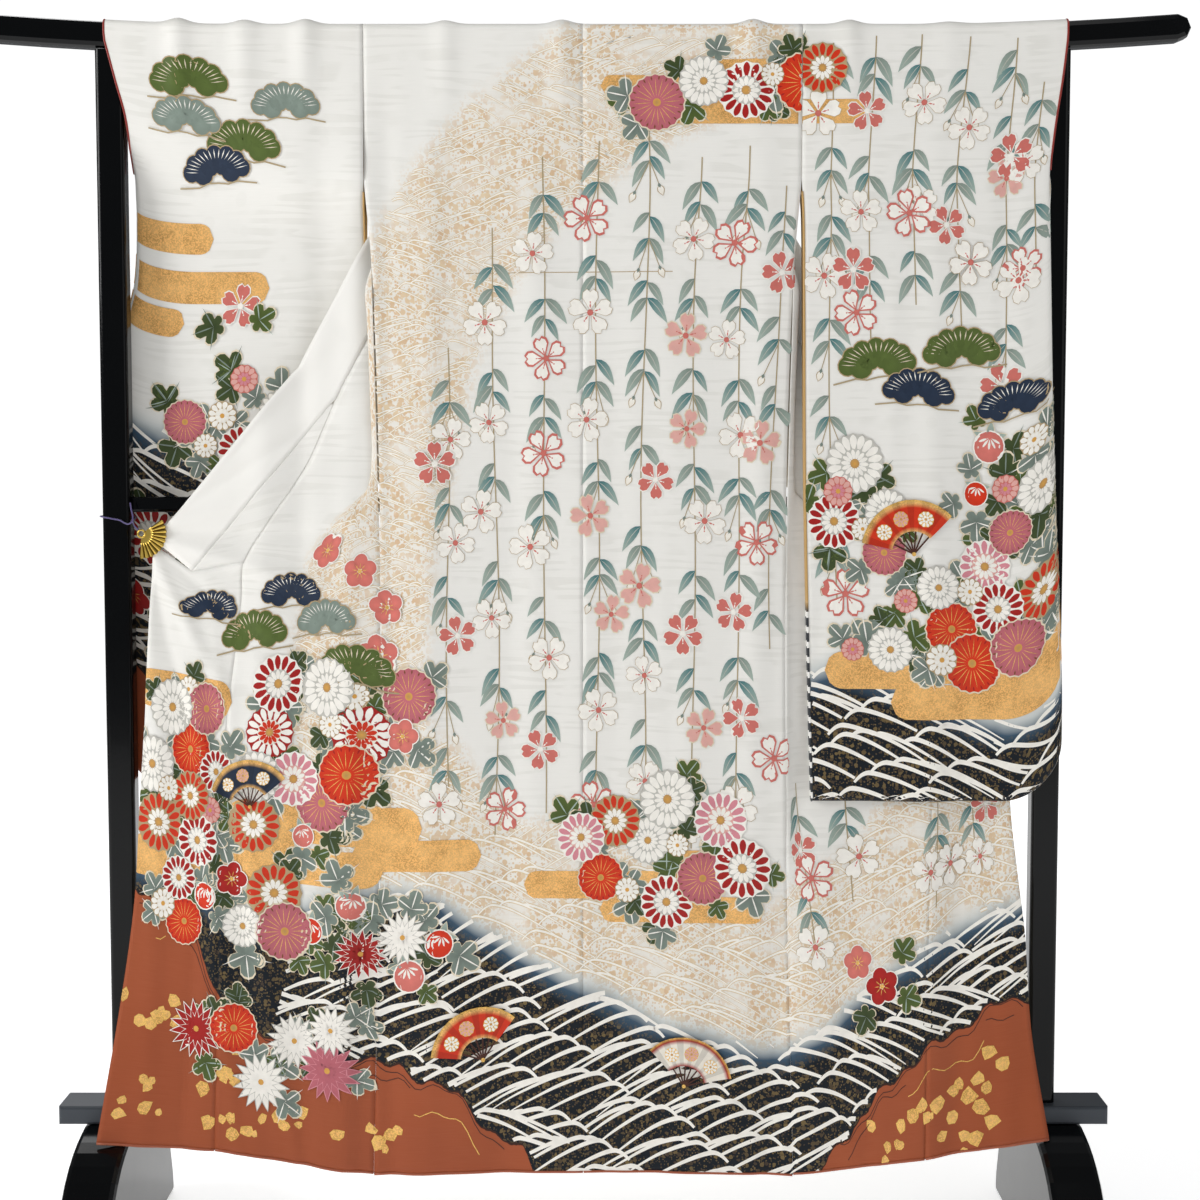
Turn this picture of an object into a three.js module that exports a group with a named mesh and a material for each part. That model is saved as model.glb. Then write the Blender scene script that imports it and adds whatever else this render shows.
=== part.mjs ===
// A long-sleeved furisode spread over a lacquered kimono rack, back outwards.
// Millimetres, +Z up. X runs to the right as the back of the garment is seen, Y runs away from
// that side, and the origin is on the floor under the middle of the rack.

import * as THREE from 'three';

// Driving dimensions of the garment
const CLOTH = 2; // wall of the satin and its lining together
const SEAM = 0.3; // gap between two pieces that are sewn to each other
const BODY_TOP = 1788; // middle of the cloth where it lies on the bar
const BODY_DEPTH = 20; // middle of the cloth beside the bar, near and far
const SHOULDER_LINE = 1745; // where the back ends and the fronts begin, behind the bar
const HEM_MIDDLE = 133;
const HEM_RISE = -5; // of the back's hem at its side seams
const COLLAR_WIDTH = 70;
const COLLAR_ACROSS = { x: 0.764, z: 0.645 }; // way across the collar where it is spread out
const COLLAR_TURN_GAP = 1; // added to the collar's seam where it stands across the front
const TURNED_SEAM = 0.8; // gap at the side seam, where the front folds back on itself
const SIDE_TURN = 1500; // above this height the front lies behind the back's side edge
const SLEEVE_JOIN = 1567; // a sleeve is sewn to the body from the shoulder down to here
const CUFF_END = 1555; // the wrist opening runs from the bar down to here
const SLEEVE_BOTTOM = 678;
const SLEEVE_CORNER = 90; // radius of the rounded lower corner
const SLEEVE_ROLL = 2; // height of the last row, where the lower edge turns over
const FOLD_RADIUS = 8; // of the sleeve's edges, where the cloth turns over
const BAR_LEDGE = 9; // radius of the cloth over the bar's edges

// Driving dimensions of the rack
const BAR = { half: 866, top: 1786, tall: 38, deep: 36, flat: 500, lift: 18, bevel: 8 };
const POST = { middle: 675, wide: 40, deep: 36, corner: 7 };
const RAIL = { low: 1094, high: 1116, deep: 22, bevel: 4 };
const BOARD = { low: 196, high: 223, deep: 72, half: 770, bevel: 4 };
const FOOT = { middle: 695, wide: 76, half: 230, top: 195.7, bevel: 8, arch: 26, pad: 70 };
const FOOT_CURVE = { power: 2.4, toe: 226.55, toeTop: 16, flat: 38 }; // its back, from flat to toe
const FIT = 0.3; // between two pieces of the rack

// Driving dimensions of the fan clip and its cord
const CLIP = { x: -634, z: 1064, radius: 36, boss: 5, from: -95, to: 35, thick: 4, stand: 0.9 };
const CORD = { radius: 1.1, sides: 4, steps: 32 };
// From the cord's free end over its knot, round the left post, and back to the clip's boss
const CORD_ROUTE = [
  [-651, -30, 1108], [-648, -33, 1092], [-646, -35, 1080], [-656, -31, 1081], [-668, -25, 1083],
  [-685, -22.5, 1086], [-697, -17, 1088], [-698.5, 0, 1088], [-694, 18, 1088], [-675, 21, 1088],
  [-655, 19.5, 1087], [-652, 6, 1085], [-651, -14, 1081], [-645, -30, 1074], [-638, -36.4, 1069.4],
];

const COLOURS = {
  satin: 0xf1ebe0, collar: 0xf6f2ea, sleeve: 0xefe9dd, okumi: 0xd9c3a6,
  lacquer: 0x0c0d10, board: 0x3a4148, gold: 0xc9a23a, cord: 0x4b3a78,
};

// A table: one object for each row, with the named columns
const columns = (names, rows) => rows.map((row) => (
  Object.fromEntries(names.split(' ').map((name, n) => [name, row[n]]))
));

// Half width of the back, from the shoulder down to the hem
const SIDE = columns('z x', [
  [SLEEVE_JOIN, 312], [1419, 300], [1100, 292],
  [650, 294], [128, 306],
]);

// Middle of the back's cloth, near the viewer's side of the bar and down to the hem
const BACK = columns('z y', [
  [1760, -20], [1567, -23], [1419, -27],
  [1100, -33], [650, -42], [128, -52],
]);

// Each front is a row of sections from its side edge (side) over a turn (turn) and an inner
// fold (fold) to its own front edge (edge); x is outwards from the middle of the back.
const FRONT_LEFT = columns('z sideX sideY turnX turnY foldX foldY edgeX edgeY edgeZ', [
  [1745, 312, 20, 258, 20, 176, 20, 95, 20, 1745],
  [1700, 312, 22, 262, 16, 178, 8, 119, 23, 1700],
  [1645, 312, 24, 268, 10, 150, -9, 149, 26, 1645],
  [1567, 312, 26, 272, 8, 140, -6, 190, 26, 1567],
  [1490, 306, -2, 275, -9, 155, -6, 232, 16, 1490],
  [1419, 301, -27, 306, -21, 176, -12, 270, 2, 1419],
  [1370, 300, -28, 306, -21, 200, -14, 296, -3, 1370],
  [1256, 297, -30, 303, -24, 225, -18, 357, -10, 1256],
  [1162, 295, -32, 303, -27, 268, -22, 399, -18, 1162],
  [1085, 293, -33, 318, -34, 370, -32, 450, -25, 1085],
  [1024, 292, -34, 335, -36, 410, -35, 487, -29, 1024],
  [960, 292, -36, 340, -38, 415, -37, 492, -32, 969],
  [751, 293, -40, 345, -42, 431, -42, 517, -38, 760],
  [400, 299, -47, 352, -50, 440, -52, 529, -53, 425],
  [130, 306, -52, 365, -56, 450, -64, 534, -70, 172],
]);
const FRONT_RIGHT = columns('z sideX sideY turnX turnY foldX foldY edgeX edgeY edgeZ', [
  [1745, 312, 20, 258, 20, 176, 20, 95, 20, 1745],
  [1700, 312, 18, 262, 12, 178, 8, 119, 23, 1700],
  [1645, 312, 13, 268, 4, 150, -9, 149, 26, 1645],
  [1567, 312, 6, 272, -1, 140, -6, 190, 26, 1567],
  [1490, 306, -9, 275, -11, 155, -6, 232, 18, 1490],
  [1419, 301, -27, 305, -19, 176, -10, 270, 10, 1419],
  [1370, 300, -28, 306, -18, 200, -11, 296, 6, 1370],
  [1256, 297, -30, 303, -20, 225, -15, 357, -6, 1256],
  [1162, 295, -32, 303, -24, 262, -19, 399, -14, 1162],
  [1085, 293, -33, 306, -25, 360, -21, 450, -17, 1085],
  [1024, 292, -34, 306, -26, 410, -23, 487, -19, 1024],
  [960, 292, -36, 308, -28, 415, -25, 492, -21, 969],
  [680, 294, -41, 312, -33, 415, -30, 505, -28, 690],
  [560, 296, -44, 325, -42, 418, -39, 502, -38, 580],
  [400, 299, -47, 345, -50, 420, -52, 499, -53, 425],
  [130, 306, -52, 360, -56, 430, -62, 495, -70, 160],
]);

// Outer edge of each okumi, from the end of the collar down to the hem
const OKUMI_LEFT = columns('z x y', [
  [1048, 617, -33], [985, 622, -34], [890, 628, -35], [760, 635, -38],
  [678, 641, -42], [531, 650, -50], [384, 670, -62], [189, 700, -98],
]);
const OKUMI_RIGHT = columns('z x y', [
  [1048, 617, -20], [985, 621, -21], [890, 624, -23], [760, 620, -26],
  [671, 620, -29], [560, 632, -38], [487, 641, -44], [340, 650, -60],
  [196, 670, -98],
]);
const OKUMI_POINT = 1250; // height of the okumi's upper point, where the collar seam leaves the front
const OKUMI_CORNER = 1024; // height at the front's edge where the collar ends
const OKUMI_TIP = 4; // width of the okumi's upper point
const OKUMI_BEND = 0.17; // share of its lower part in which the bend of the top row dies out
const COLLAR_END = { x: 563, z: 1010 }; // where the collar's seam meets the okumi's corner

// Turn of the collar about its seam: 180 hangs inwards and down, 0 lies outwards and up
const COLLAR_TURN_LEFT = columns('z turn', [
  [1700, 166], [1645, 88], [1567, 33], [1490, 14],
  [1419, -5], [1370, -3], [1256, 0], [1010, 0],
]);
const COLLAR_TURN_RIGHT = columns('z turn', [
  [1700, 166], [1645, 88], [1567, 33], [1490, 16],
  [1419, 8], [1370, 5], [1256, 0], [1010, 0],
]);
// Behind the neck: the collar's seam edge and its free edge, from the middle outwards
const COLLAR_NECK = columns('seamX seamZ freeX freeZ freeY', [
  [0, 1745, 0, 1675, 26],
  [32, 1745, 19, 1675, 26],
  [64, 1745, 36, 1675, 27],
  [94, 1744, 48, 1672, 29],
  [107, 1722, 57, 1668, 33],
]);

// Each sleeve: the near and the far layer's depth at the body (in) and at the cuff (out),
// and the x of each layer's cuff edge
const SLEEVE_LEFT = columns('z nearIn nearOut farIn farOut nearX farX', [
  [1760, -20, -20, 20, 20, 679, 679],
  [1700, -21, -21, 22, 21, 664, 664],
  [1640, -22, -14, 24, 26, 650, 650],
  [1567, -23, 12, 26, 30, 647, 647],
  [1535, -7, 18, 28, 31, 647, 647],
  [1500, 10, 21, 31, 33, 647, 647],
  [1400, 17, 24, 34, 37, 652, 652],
  [1300, 17, 25, 36, 38, 674, 674],
  [1105, 17, 26, 38, 39, 680, 680],
  [678, 18, 27, 40, 41, 680, 680],
]);
const SLEEVE_RIGHT = columns('z nearIn nearOut farIn farOut nearX farX', [
  [1760, -20, -20, 20, 20, 688, 686],
  [1700, -21, -23, 18, 21, 681, 651],
  [1640, -22, -27, 13, 4, 672, 646],
  [1590, -23, -30, 8, -20, 666, 648],
  [1555, -23, -32, 4, -25, 664, 664],
  [1500, -27, -34, -5, -25, 665, 665],
  [1419, -33, -37, -12, -25, 667, 667],
  [1256, -38, -40, -21, -27, 671, 671],
  [1105, -42, -43, -29, -30, 675, 675],
  [773, -47, -48, -34, -35, 690, 690],
  [678, -49, -50, -36, -37, 691, 691],
]);
// Inner edge of the sleeves below the join, where they hang open beside the body
const SLEEVE_INNER = columns('z x', [
  [SLEEVE_JOIN, 312.3], [1520, 315], [1400, 316],
  [1105, 319], [678, 331],
]);

// Ripples that the cloth makes over the bar: middle, height and half width
const RIPPLES = columns('x high wide', [
  [-575, 7, 17], [-481, 6, 18], [-395, 7, 18], [-196, 5, 17],
  [-30, 6, 17], [242, 7, 17], [379, 6, 17], [520, 3, 22],
]);
const RIPPLE_FADE = 190; // length of a ripple below the bar

// Soft upright folds: middle at the hem, half width, depth, top and sideways lean per mm of rise
const FOLDS = columns('x wide deep top lean', [
  [-545, 34, 6, 940, 0.02],
  [-372, 40, 7, 1000, 0.04],
  [-190, 60, 6, 1450, -0.03],
  [-20, 46, 5, 1350, 0.02],
  [150, 55, 6, 1500, -0.02],
  [322, 38, 6, 760, 0.06],
  [470, 52, 8, 1300, 0.03],
  [600, 36, 6, 1200, 0.02],
]);
const FOLD_RISE = 420; // a fold reaches its full depth this far below its top

const vector = (x, y, z) => new THREE.Vector3(x, y, z);
const mix = THREE.MathUtils.lerp;
const smoothstep = THREE.MathUtils.smoothstep;

// Smooth value of one column of a table at height z: a cubic through its rows
function at(table, column, z) {
  const last = table.length - 1;
  if (z >= table[0].z) return table[0][column];
  if (z <= table[last].z) return table[last][column];
  const i = table.findIndex((row, n) => n < last && z <= row.z && z > table[n + 1].z);
  const [a, b] = [table[i], table[i + 1]];
  const slope = (n) => {
    const [p, q] = [table[Math.max(n - 1, 0)], table[Math.min(n + 1, last)]];
    return (q[column] - p[column]) / (q.z - p.z);
  };
  const span = b.z - a.z;
  const t = (z - a.z) / span;
  const [t2, t3] = [t * t, t * t * t];
  return (2 * t3 - 3 * t2 + 1) * a[column] + (t3 - 2 * t2 + t) * span * slope(i)
    + (3 * t2 - 2 * t3) * b[column] + (t3 - t2) * span * slope(i + 1);
}

// How far the bar rises at x: flat in the middle and curved up at both ends
const barLift = (x) => (
  BAR.lift * Math.max(0, (Math.abs(x) - BAR.flat) / (BAR.half - BAR.flat)) ** 1.5
);

// Height of the ripples at x
const ripple = (x) => (
  RIPPLES.reduce((sum, r) => sum + r.high * Math.exp(-(((x - r.x) / r.wide) ** 2)), 0)
);

// Depth of the soft folds at a point of the hanging cloth
function folds(x, z) {
  let sum = 0;
  for (const fold of FOLDS) {
    const middle = fold.x + fold.lean * (z - HEM_MIDDLE);
    const fade = smoothstep(fold.top - z, 0, FOLD_RISE);
    sum += fold.deep * fade * Math.exp(-(((x - middle) / fold.wide) ** 2));
  }
  return sum;
}

// The cloth's way over the bar, from the far side to the near side: y, z and the way outwards
function overBar(steps) {
  const path = [{ y: BODY_DEPTH, z: SHOULDER_LINE, out: [1, 0] }];
  const ledge = BODY_TOP - BAR_LEDGE;
  for (const side of [1, -1]) {
    for (let i = 0; i <= steps; i++) {
      const turn = (side > 0 ? i : steps - i) / steps * Math.PI / 2;
      const out = [side * Math.cos(turn), Math.sin(turn)];
      const y = side * (BODY_DEPTH - BAR_LEDGE) + BAR_LEDGE * out[0];
      path.push({ y, z: ledge + BAR_LEDGE * out[1], out });
    }
  }
  return path;
}

// A row of points over the bar at one step of its path
function barRow(step, xs) {
  return xs.map((x) => vector(
    x, step.y + ripple(x) * step.out[0], step.z + barLift(x) + ripple(x) * step.out[1]));
}

// A closed wall of cloth around grids of points; grids that share points are one cloth
function wall(grids) {
  const seen = new Map();
  const points = [];
  const weld = (p) => {
    const key = [p.x, p.y, p.z].map((value) => Math.round(value * 100)).join();
    if (!seen.has(key)) {
      seen.set(key, points.length);
      points.push(p);
    }
    return seen.get(key);
  };
  const faces = [];
  for (const { rows, flip } of grids) {
    const ids = rows.map((row) => row.map(weld));
    for (let r = 0; r + 1 < ids.length; r++) {
      for (let c = 0; c + 1 < ids[r].length; c++) {
        const quad = [ids[r][c], ids[r][c + 1], ids[r + 1][c + 1], ids[r + 1][c]];
        if (flip) quad.reverse();
        for (const face of [[quad[0], quad[1], quad[2]], [quad[0], quad[2], quad[3]]]) {
          if (new Set(face).size === 3) faces.push(face);
        }
      }
    }
  }
  const normals = points.map(() => vector(0, 0, 0));
  for (const [a, b, c] of faces) {
    const across = points[b].clone().sub(points[a]).cross(points[c].clone().sub(points[a]));
    for (const id of [a, b, c]) normals[id].add(across);
  }
  const edges = new Map();
  for (const face of faces) {
    face.forEach((id, n) => edges.set(`${id},${face[(n + 1) % 3]}`, [id, face[(n + 1) % 3]]));
  }
  const count = points.length;
  const index = [];
  for (const [a, b, c] of faces) index.push(a, b, c, count + c, count + b, count + a);
  for (const [a, b] of edges.values()) {
    if (!edges.has(`${b},${a}`)) index.push(b, a, count + a, b, count + a, count + b);
  }
  const position = [];
  for (const way of [1, -1]) {
    points.forEach((p, n) => {
      const out = normals[n].clone().normalize();
      position.push(...p.clone().addScaledVector(out, way * CLOTH / 2).toArray());
    });
  }
  const geometry = new THREE.BufferGeometry();
  geometry.setAttribute('position', new THREE.Float32BufferAttribute(position, 3));
  geometry.setIndex(index);
  return geometry;
}

// Evenly spaced numbers
const even = (steps, from = 0, to = 1) => (
  Array.from({ length: steps + 1 }, (_, n) => mix(from, to, n / steps))
);

const BACK_COLUMNS = 11;
const BACK_ROWS = 18;
const BAR_STEPS = 3; // rows round each edge of the bar

// Back panel: from behind the bar over it and down to the hem, side is -1 left and 1 right
function back(side) {
  const across = even(BACK_COLUMNS);
  const rows = overBar(BAR_STEPS).map((step) => {
    const edge = at(SIDE, 'x', step.z) - SEAM / 2;
    return barRow(step, across.map((u) => side * mix(SEAM / 2, edge, u)));
  });
  const top = BODY_TOP - BAR_LEDGE;
  for (const v of even(BACK_ROWS).slice(1)) {
    rows.push(across.map((u) => {
      const hem = HEM_MIDDLE + HEM_RISE * u * u;
      const z = mix(top, hem, v);
      const x = side * mix(SEAM / 2, at(SIDE, 'x', z) - SEAM / 2, u);
      const fade = 1 - smoothstep(top - z, 0, RIPPLE_FADE);
      return vector(x, at(BACK, 'y', z) - ripple(x) * fade - folds(x, z), z);
    }));
  }
  return rows;
}

// One section of a front, from its side edge to its front edge, as a smooth curve
function frontSection(table, side, z) {
  const value = (column) => at(table, column, z);
  const seamX = z > SIDE_TURN
    ? Math.min(value('sideX'), at(SIDE, 'x', z) - SEAM)
    : Math.max(value('sideX'), at(SIDE, 'x', z) + TURNED_SEAM);
  const sideHeight = Math.min(z, SHOULDER_LINE - SEAM);
  const edgeHeight = Math.min(value('edgeZ'), SHOULDER_LINE - SEAM);
  const shape = [
    [seamX, value('sideY')],
    [value('turnX'), value('turnY')],
    [mix(value('turnX'), value('foldX'), 0.5), mix(value('turnY'), value('foldY'), 0.5)],
    [value('foldX'), value('foldY')],
    [mix(value('foldX'), value('edgeX'), 0.5), mix(value('foldY'), value('edgeY'), 0.5)],
    [value('edgeX'), value('edgeY')],
  ];
  const points = shape.map(([x, y], n) => (
    vector(side * x, y, mix(sideHeight, edgeHeight, n / (shape.length - 1)))
  ));
  return new THREE.CatmullRomCurve3(points, false, 'catmullrom', 0.5);
}

// Moves a point of the near cloth out by the soft folds
const folded = (p) => vector(p.x, p.y - folds(p.x, p.z), p.z);

// Heights, at the side edge, of the rows that a front shares with its collar and its okumi
const NECK_ROWS = even(9, 1700, OKUMI_POINT);
const POINT_ROWS = even(4, OKUMI_POINT, OKUMI_CORNER);
const LOWER_ROWS = even(12, OKUMI_CORNER, FRONT_LEFT.at(-1).z);
const FRONT_COLUMNS = 10;

function front(table, side) {
  return [SHOULDER_LINE, ...NECK_ROWS, ...POINT_ROWS.slice(1), ...LOWER_ROWS.slice(1)].map((z) => {
    const curve = frontSection(table, side, z);
    return even(FRONT_COLUMNS).map((u) => folded(curve.getPoint(u)));
  });
}

// A point on a front's own edge, at the height of its side edge
const frontEdge = (table, side, z) => frontSection(table, side, z).getPoint(1);

// Okumi: a tapered strip from a point at the collar's seam down to the hem. Its upper part lies
// between the front and the collar, its lower part between the front and the free edge.
function okumi(table, outer, side) {
  const outwards = (p, x) => vector(p.x + side * x, p.y, p.z);
  const cornerPoint = vector(side * COLLAR_END.x, at(outer, 'y', COLLAR_END.z), COLLAR_END.z);
  const start = outwards(frontEdge(table, side, OKUMI_POINT), OKUMI_TIP);
  const upper = POINT_ROWS.map((z, n) => {
    const inner = outwards(frontEdge(table, side, z), SEAM);
    const edge = start.clone().lerp(cornerPoint, n / (POINT_ROWS.length - 1));
    return even(3).map((u) => inner.clone().lerp(edge, u));
  });
  const last = upper.at(-1);
  const collarTip = vector(side * outer[0].x, outer[0].y, outer[0].z);
  const lowerTop = [...last, ...even(2).slice(1).map((u) => cornerPoint.clone().lerp(collarTip, u))];
  const inside = (v) => outwards(frontEdge(table, side, mix(OKUMI_CORNER, table.at(-1).z, v)), SEAM);
  const outside = (v) => {
    const z = mix(outer[0].z, outer.at(-1).z, v);
    return vector(side * at(outer, 'x', z), at(outer, 'y', z), z);
  };
  const columns = lowerTop.length - 1;
  const lower = even(LOWER_ROWS.length - 1).map((v) => {
    return lowerTop.map((p, n) => {
      const straight = inside(v).lerp(outside(v), n / columns);
      const flatTop = inside(0).lerp(outside(0), n / columns);
      const bend = 1 - smoothstep(v, 0, OKUMI_BEND);
      return straight.addScaledVector(p.clone().sub(flatTop), bend);
    });
  });
  return [upper, lower].map((rows) => ({ rows: rows.map((row) => row.map(folded)) }));
}

// The collar's rows on one side, from behind the neck to its end: seam edge and free edge
function collarRows(table, turns, outer, side) {
  const direction = vector(side * COLLAR_ACROSS.x, 0, COLLAR_ACROSS.z);
  const rows = COLLAR_NECK.map((row) => [
    vector(side * Math.max(row.seamX - SEAM * 2, 0), BODY_DEPTH, row.seamZ - SEAM * 3),
    vector(side * row.freeX, row.freeY, row.freeZ)]);
  const turned = (seam, z) => {
    const turn = THREE.MathUtils.degToRad(at(turns, 'turn', z));
    const across = direction.clone().multiplyScalar(Math.cos(turn)).setY(Math.sin(turn));
    const gap = SEAM * 2 + COLLAR_TURN_GAP * Math.abs(Math.sin(turn));
    return [gap, COLLAR_WIDTH].map((out) => seam.clone().addScaledVector(across, out));
  };
  for (const z of NECK_ROWS.slice(0, -1)) {
    rows.push(turned(frontEdge(table, side, z), z));
  }
  const top = frontEdge(table, side, OKUMI_POINT);
  const end = vector(side * COLLAR_END.x, at(outer, 'y', COLLAR_END.z), COLLAR_END.z);
  top.x += side * OKUMI_TIP;
  for (const v of even(4)) {
    rows.push(turned(top.clone().lerp(end, v), mix(OKUMI_POINT, COLLAR_END.z, v)));
  }
  return rows.map(([seam, free]) => even(3).map((u) => folded(seam.clone().lerp(free, u))));
}

function collar() {
  const left = collarRows(FRONT_LEFT, COLLAR_TURN_LEFT, OKUMI_LEFT, -1);
  const right = collarRows(FRONT_RIGHT, COLLAR_TURN_RIGHT, OKUMI_RIGHT, 1);
  return [{ rows: [...left.slice(1).reverse(), ...right] }];
}

// Quarter-round fade to nothing at a folded edge
const roundEdge = (distance) => (
  Math.sqrt(1 - (1 - Math.min(Math.max(distance / FOLD_RADIUS, 0), 1)) ** 2)
);

// Sleeve: a near and a far layer that hang from the bar, joined below the wrist opening,
// round the lower corner and along the bottom, and open beside the body. foldWay turns its
// folds to the viewer (-1) or away, and foldShift moves them sideways.
function sleeve(table, side, foldWay, foldShift) {
  const across = [...even(7, 0, 0.84), 0.92, 0.965, 0.991, 1];
  const heights = [
    ...even(5, BODY_TOP - BAR_LEDGE, CUFF_END),
    ...even(12, CUFF_END, SLEEVE_BOTTOM).slice(1, -1),
    SLEEVE_BOTTOM + SLEEVE_ROLL, SLEEVE_BOTTOM,
  ];
  const bottomAt = (x, outer) => {
    const past = Math.min(Math.max((x - (outer - SLEEVE_CORNER)) / SLEEVE_CORNER, 0), 1);
    return SLEEVE_BOTTOM + SLEEVE_CORNER * (1 - Math.sqrt(1 - past * past));
  };
  const top = BODY_TOP - BAR_LEDGE;
  const layer = (name) => heights.map((level) => across.map((u) => {
    const outer = at(table, `${name}X`, level);
    const x = mix(at(SLEEVE_INNER, 'x', level), outer, u);
    const bottom = bottomAt(x, outer);
    const down = (top - level) / (top - SLEEVE_BOTTOM);
    const z = mix(top, bottom, down);
    const [near, far] = ['near', 'far'].map((layerName) => (
      mix(at(table, `${layerName}In`, z), at(table, `${layerName}Out`, z), smoothstep(u, 0, 1))
    ));
    const closed = level <= CUFF_END ? roundEdge(outer - x) : 1;
    const thick = closed * roundEdge(z - bottom);
    const fade = 1 - smoothstep(top - z, 0, RIPPLE_FADE);
    const outwards = name === 'near' ? -1 : 1;
    const y = mix((near + far) / 2, name === 'near' ? near : far, thick)
      + outwards * ripple(side * x) * fade + foldWay * folds(side * x - foldShift, z);
    return vector(side * x, y, z + barLift(x) * fade);
  }));
  const [near, far] = [layer('near'), layer('far')];
  const bar = overBar(BAR_STEPS).slice(1);
  const topRows = bar.map((step, n) => {
    const t = n / (bar.length - 1);
    return across.map((_, c) => {
      const x = side * mix(Math.abs(far[0][c].x), Math.abs(near[0][c].x), t);
      return barRow(step, [x])[0];
    });
  });
  topRows[0] = far[0];
  topRows[topRows.length - 1] = near[0];
  return [{ rows: topRows }, { rows: near }, { rows: far, flip: true }];
}

// Rack pieces: an outline drawn in two axes and pushed along the third, with rounded edges
function pushed(outline, length, bevel, place) {
  const shape = new THREE.Shape(outline);
  const geometry = new THREE.ExtrudeGeometry(shape, {
    depth: length - 2 * bevel, bevelEnabled: true, bevelThickness: bevel, bevelSize: bevel,
    bevelOffset: -bevel, bevelSegments: 2, steps: 1,
  });
  geometry.translate(0, 0, bevel - length / 2);
  geometry.applyMatrix4(place);
  return geometry;
}
const basis = (x, y, z, at3 = vector(0, 0, 0)) => new THREE.Matrix4().makeBasis(x, y, z).setPosition(at3);
const [X, Y, Z] = [vector(1, 0, 0), vector(0, 1, 0), vector(0, 0, 1)];
const pushedAlongY = (outline, deep, bevel) => (
  pushed(outline, deep, bevel, basis(X, Z, Y.clone().negate()))
);

// Bar: a long flat outline that curves up at both ends, with a half-round tip at each
function topBar() {
  const tip = BAR.tall / 2;
  const reach = BAR.half - tip;
  const xs = even(20, -reach, reach);
  const edge = (height) => xs.map((x) => new THREE.Vector2(x, height + barLift(x)));
  const roundTip = (side) => even(4, -90 * side, 90 * side).slice(1, -1).map((degrees) => {
    const angle = THREE.MathUtils.degToRad(degrees);
    const middle = BAR.top - tip + barLift(reach);
    return new THREE.Vector2(side * (reach + tip * Math.cos(angle)), middle + tip * Math.sin(angle));
  });
  const outline = [
    ...edge(BAR.top - BAR.tall), ...roundTip(1), ...edge(BAR.top).reverse(), ...roundTip(-1),
  ];
  return pushedAlongY(outline, BAR.deep, BAR.bevel);
}

// Post: a rectangle with rounded corners, from the board up to the bar
function post(side) {
  const low = BOARD.high + FIT;
  const high = BAR.top - BAR.tall + barLift(POST.middle - POST.wide / 2) - FIT;
  const [w, d] = [POST.wide / 2 - POST.corner, POST.deep / 2 - POST.corner];
  const shape = new THREE.Shape();
  [[w, -d], [w, d], [-w, d], [-w, -d]].forEach(([x, y], n) => {
    shape.absarc(x, y, POST.corner, (n - 1) * Math.PI / 2, n * Math.PI / 2);
  });
  const geometry = new THREE.ExtrudeGeometry(shape, {
    depth: high - low, bevelEnabled: false, curveSegments: 4,
  });
  geometry.translate(side * POST.middle, 0, low);
  return geometry;
}

const rectangle = (x0, z0, x1, z1) => (
  [[x0, z0], [x1, z0], [x1, z1], [x0, z1]].map(([x, z]) => new THREE.Vector2(x, z))
);

function midRail() {
  const half = POST.middle - POST.wide / 2 - FIT;
  return pushedAlongY(rectangle(-half, RAIL.low, half, RAIL.high), RAIL.deep, RAIL.bevel);
}

function bottomBoard() {
  return pushedAlongY(rectangle(-BOARD.half, BOARD.low, BOARD.half, BOARD.high), BOARD.deep, BOARD.bevel);
}

// Foot: a tall curved block along Y, flat under the board, with a shallow arch between its pads
function foot(side) {
  const { power, toe, toeTop, flat } = FOOT_CURVE;
  const back = (y) => (
    Math.abs(y) <= flat ? FOOT.top : FOOT.top * Math.sqrt(1 - (Math.abs(y) / FOOT.half) ** power)
  );
  const arch = FOOT.half - FOOT.pad;
  const outline = [
    ...even(12, -arch, arch).map((y) => [y, FOOT.arch * (1 - (y / arch) ** 2)]),
    [FOOT.half, 0], [FOOT.half, toeTop],
    ...[...even(8, toe, flat), ...even(8, -flat, -toe)].map((y) => [y, back(y)]),
    [-FOOT.half, toeTop], [-FOOT.half, 0],
  ].map(([y, z]) => new THREE.Vector2(y, z));
  return pushed(outline, FOOT.wide, FOOT.bevel, basis(Y, Z, X, vector(side * FOOT.middle, 0, 0)));
}

// Small folding-fan clip that holds the left front open: a fan of ribs that spreads from a round
// boss, with its back on the corner of the collar

function fanClip() {
  const [from, to] = [CLIP.from, CLIP.to].map(THREE.MathUtils.degToRad);
  const shape = new THREE.Shape();
  shape.absarc(0, 0, CLIP.radius, from, to);
  shape.absarc(0, 0, CLIP.boss, to, from + Math.PI * 2);
  const geometry = new THREE.ExtrudeGeometry(shape, {
    depth: CLIP.thick, bevelEnabled: false, curveSegments: 8,
  });
  geometry.rotateX(Math.PI / 2);
  const cloth = at(OKUMI_LEFT, 'y', OKUMI_LEFT[0].z) - CLOTH / 2;
  geometry.translate(CLIP.x, cloth - CLIP.stand, CLIP.z);
  return geometry;
}

// Thin cord along its route, with a round section

function tieCord() {
  const route = new THREE.CatmullRomCurve3(CORD_ROUTE.map((p) => vector(...p)), false, 'centripetal');
  const section = new THREE.Shape().absarc(0, 0, CORD.radius, 0, Math.PI * 2);
  return new THREE.ExtrudeGeometry(section, {
    steps: CORD.steps, curveSegments: CORD.sides, bevelEnabled: false, extrudePath: route,
  });
}

const object = new THREE.Group();

function add(name, geometry, colour, roughness, metalness = 0) {
  const material = new THREE.MeshStandardMaterial({ color: colour, roughness, metalness });
  const mesh = new THREE.Mesh(geometry, material);
  mesh.name = name;
  object.add(mesh);
}

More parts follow.
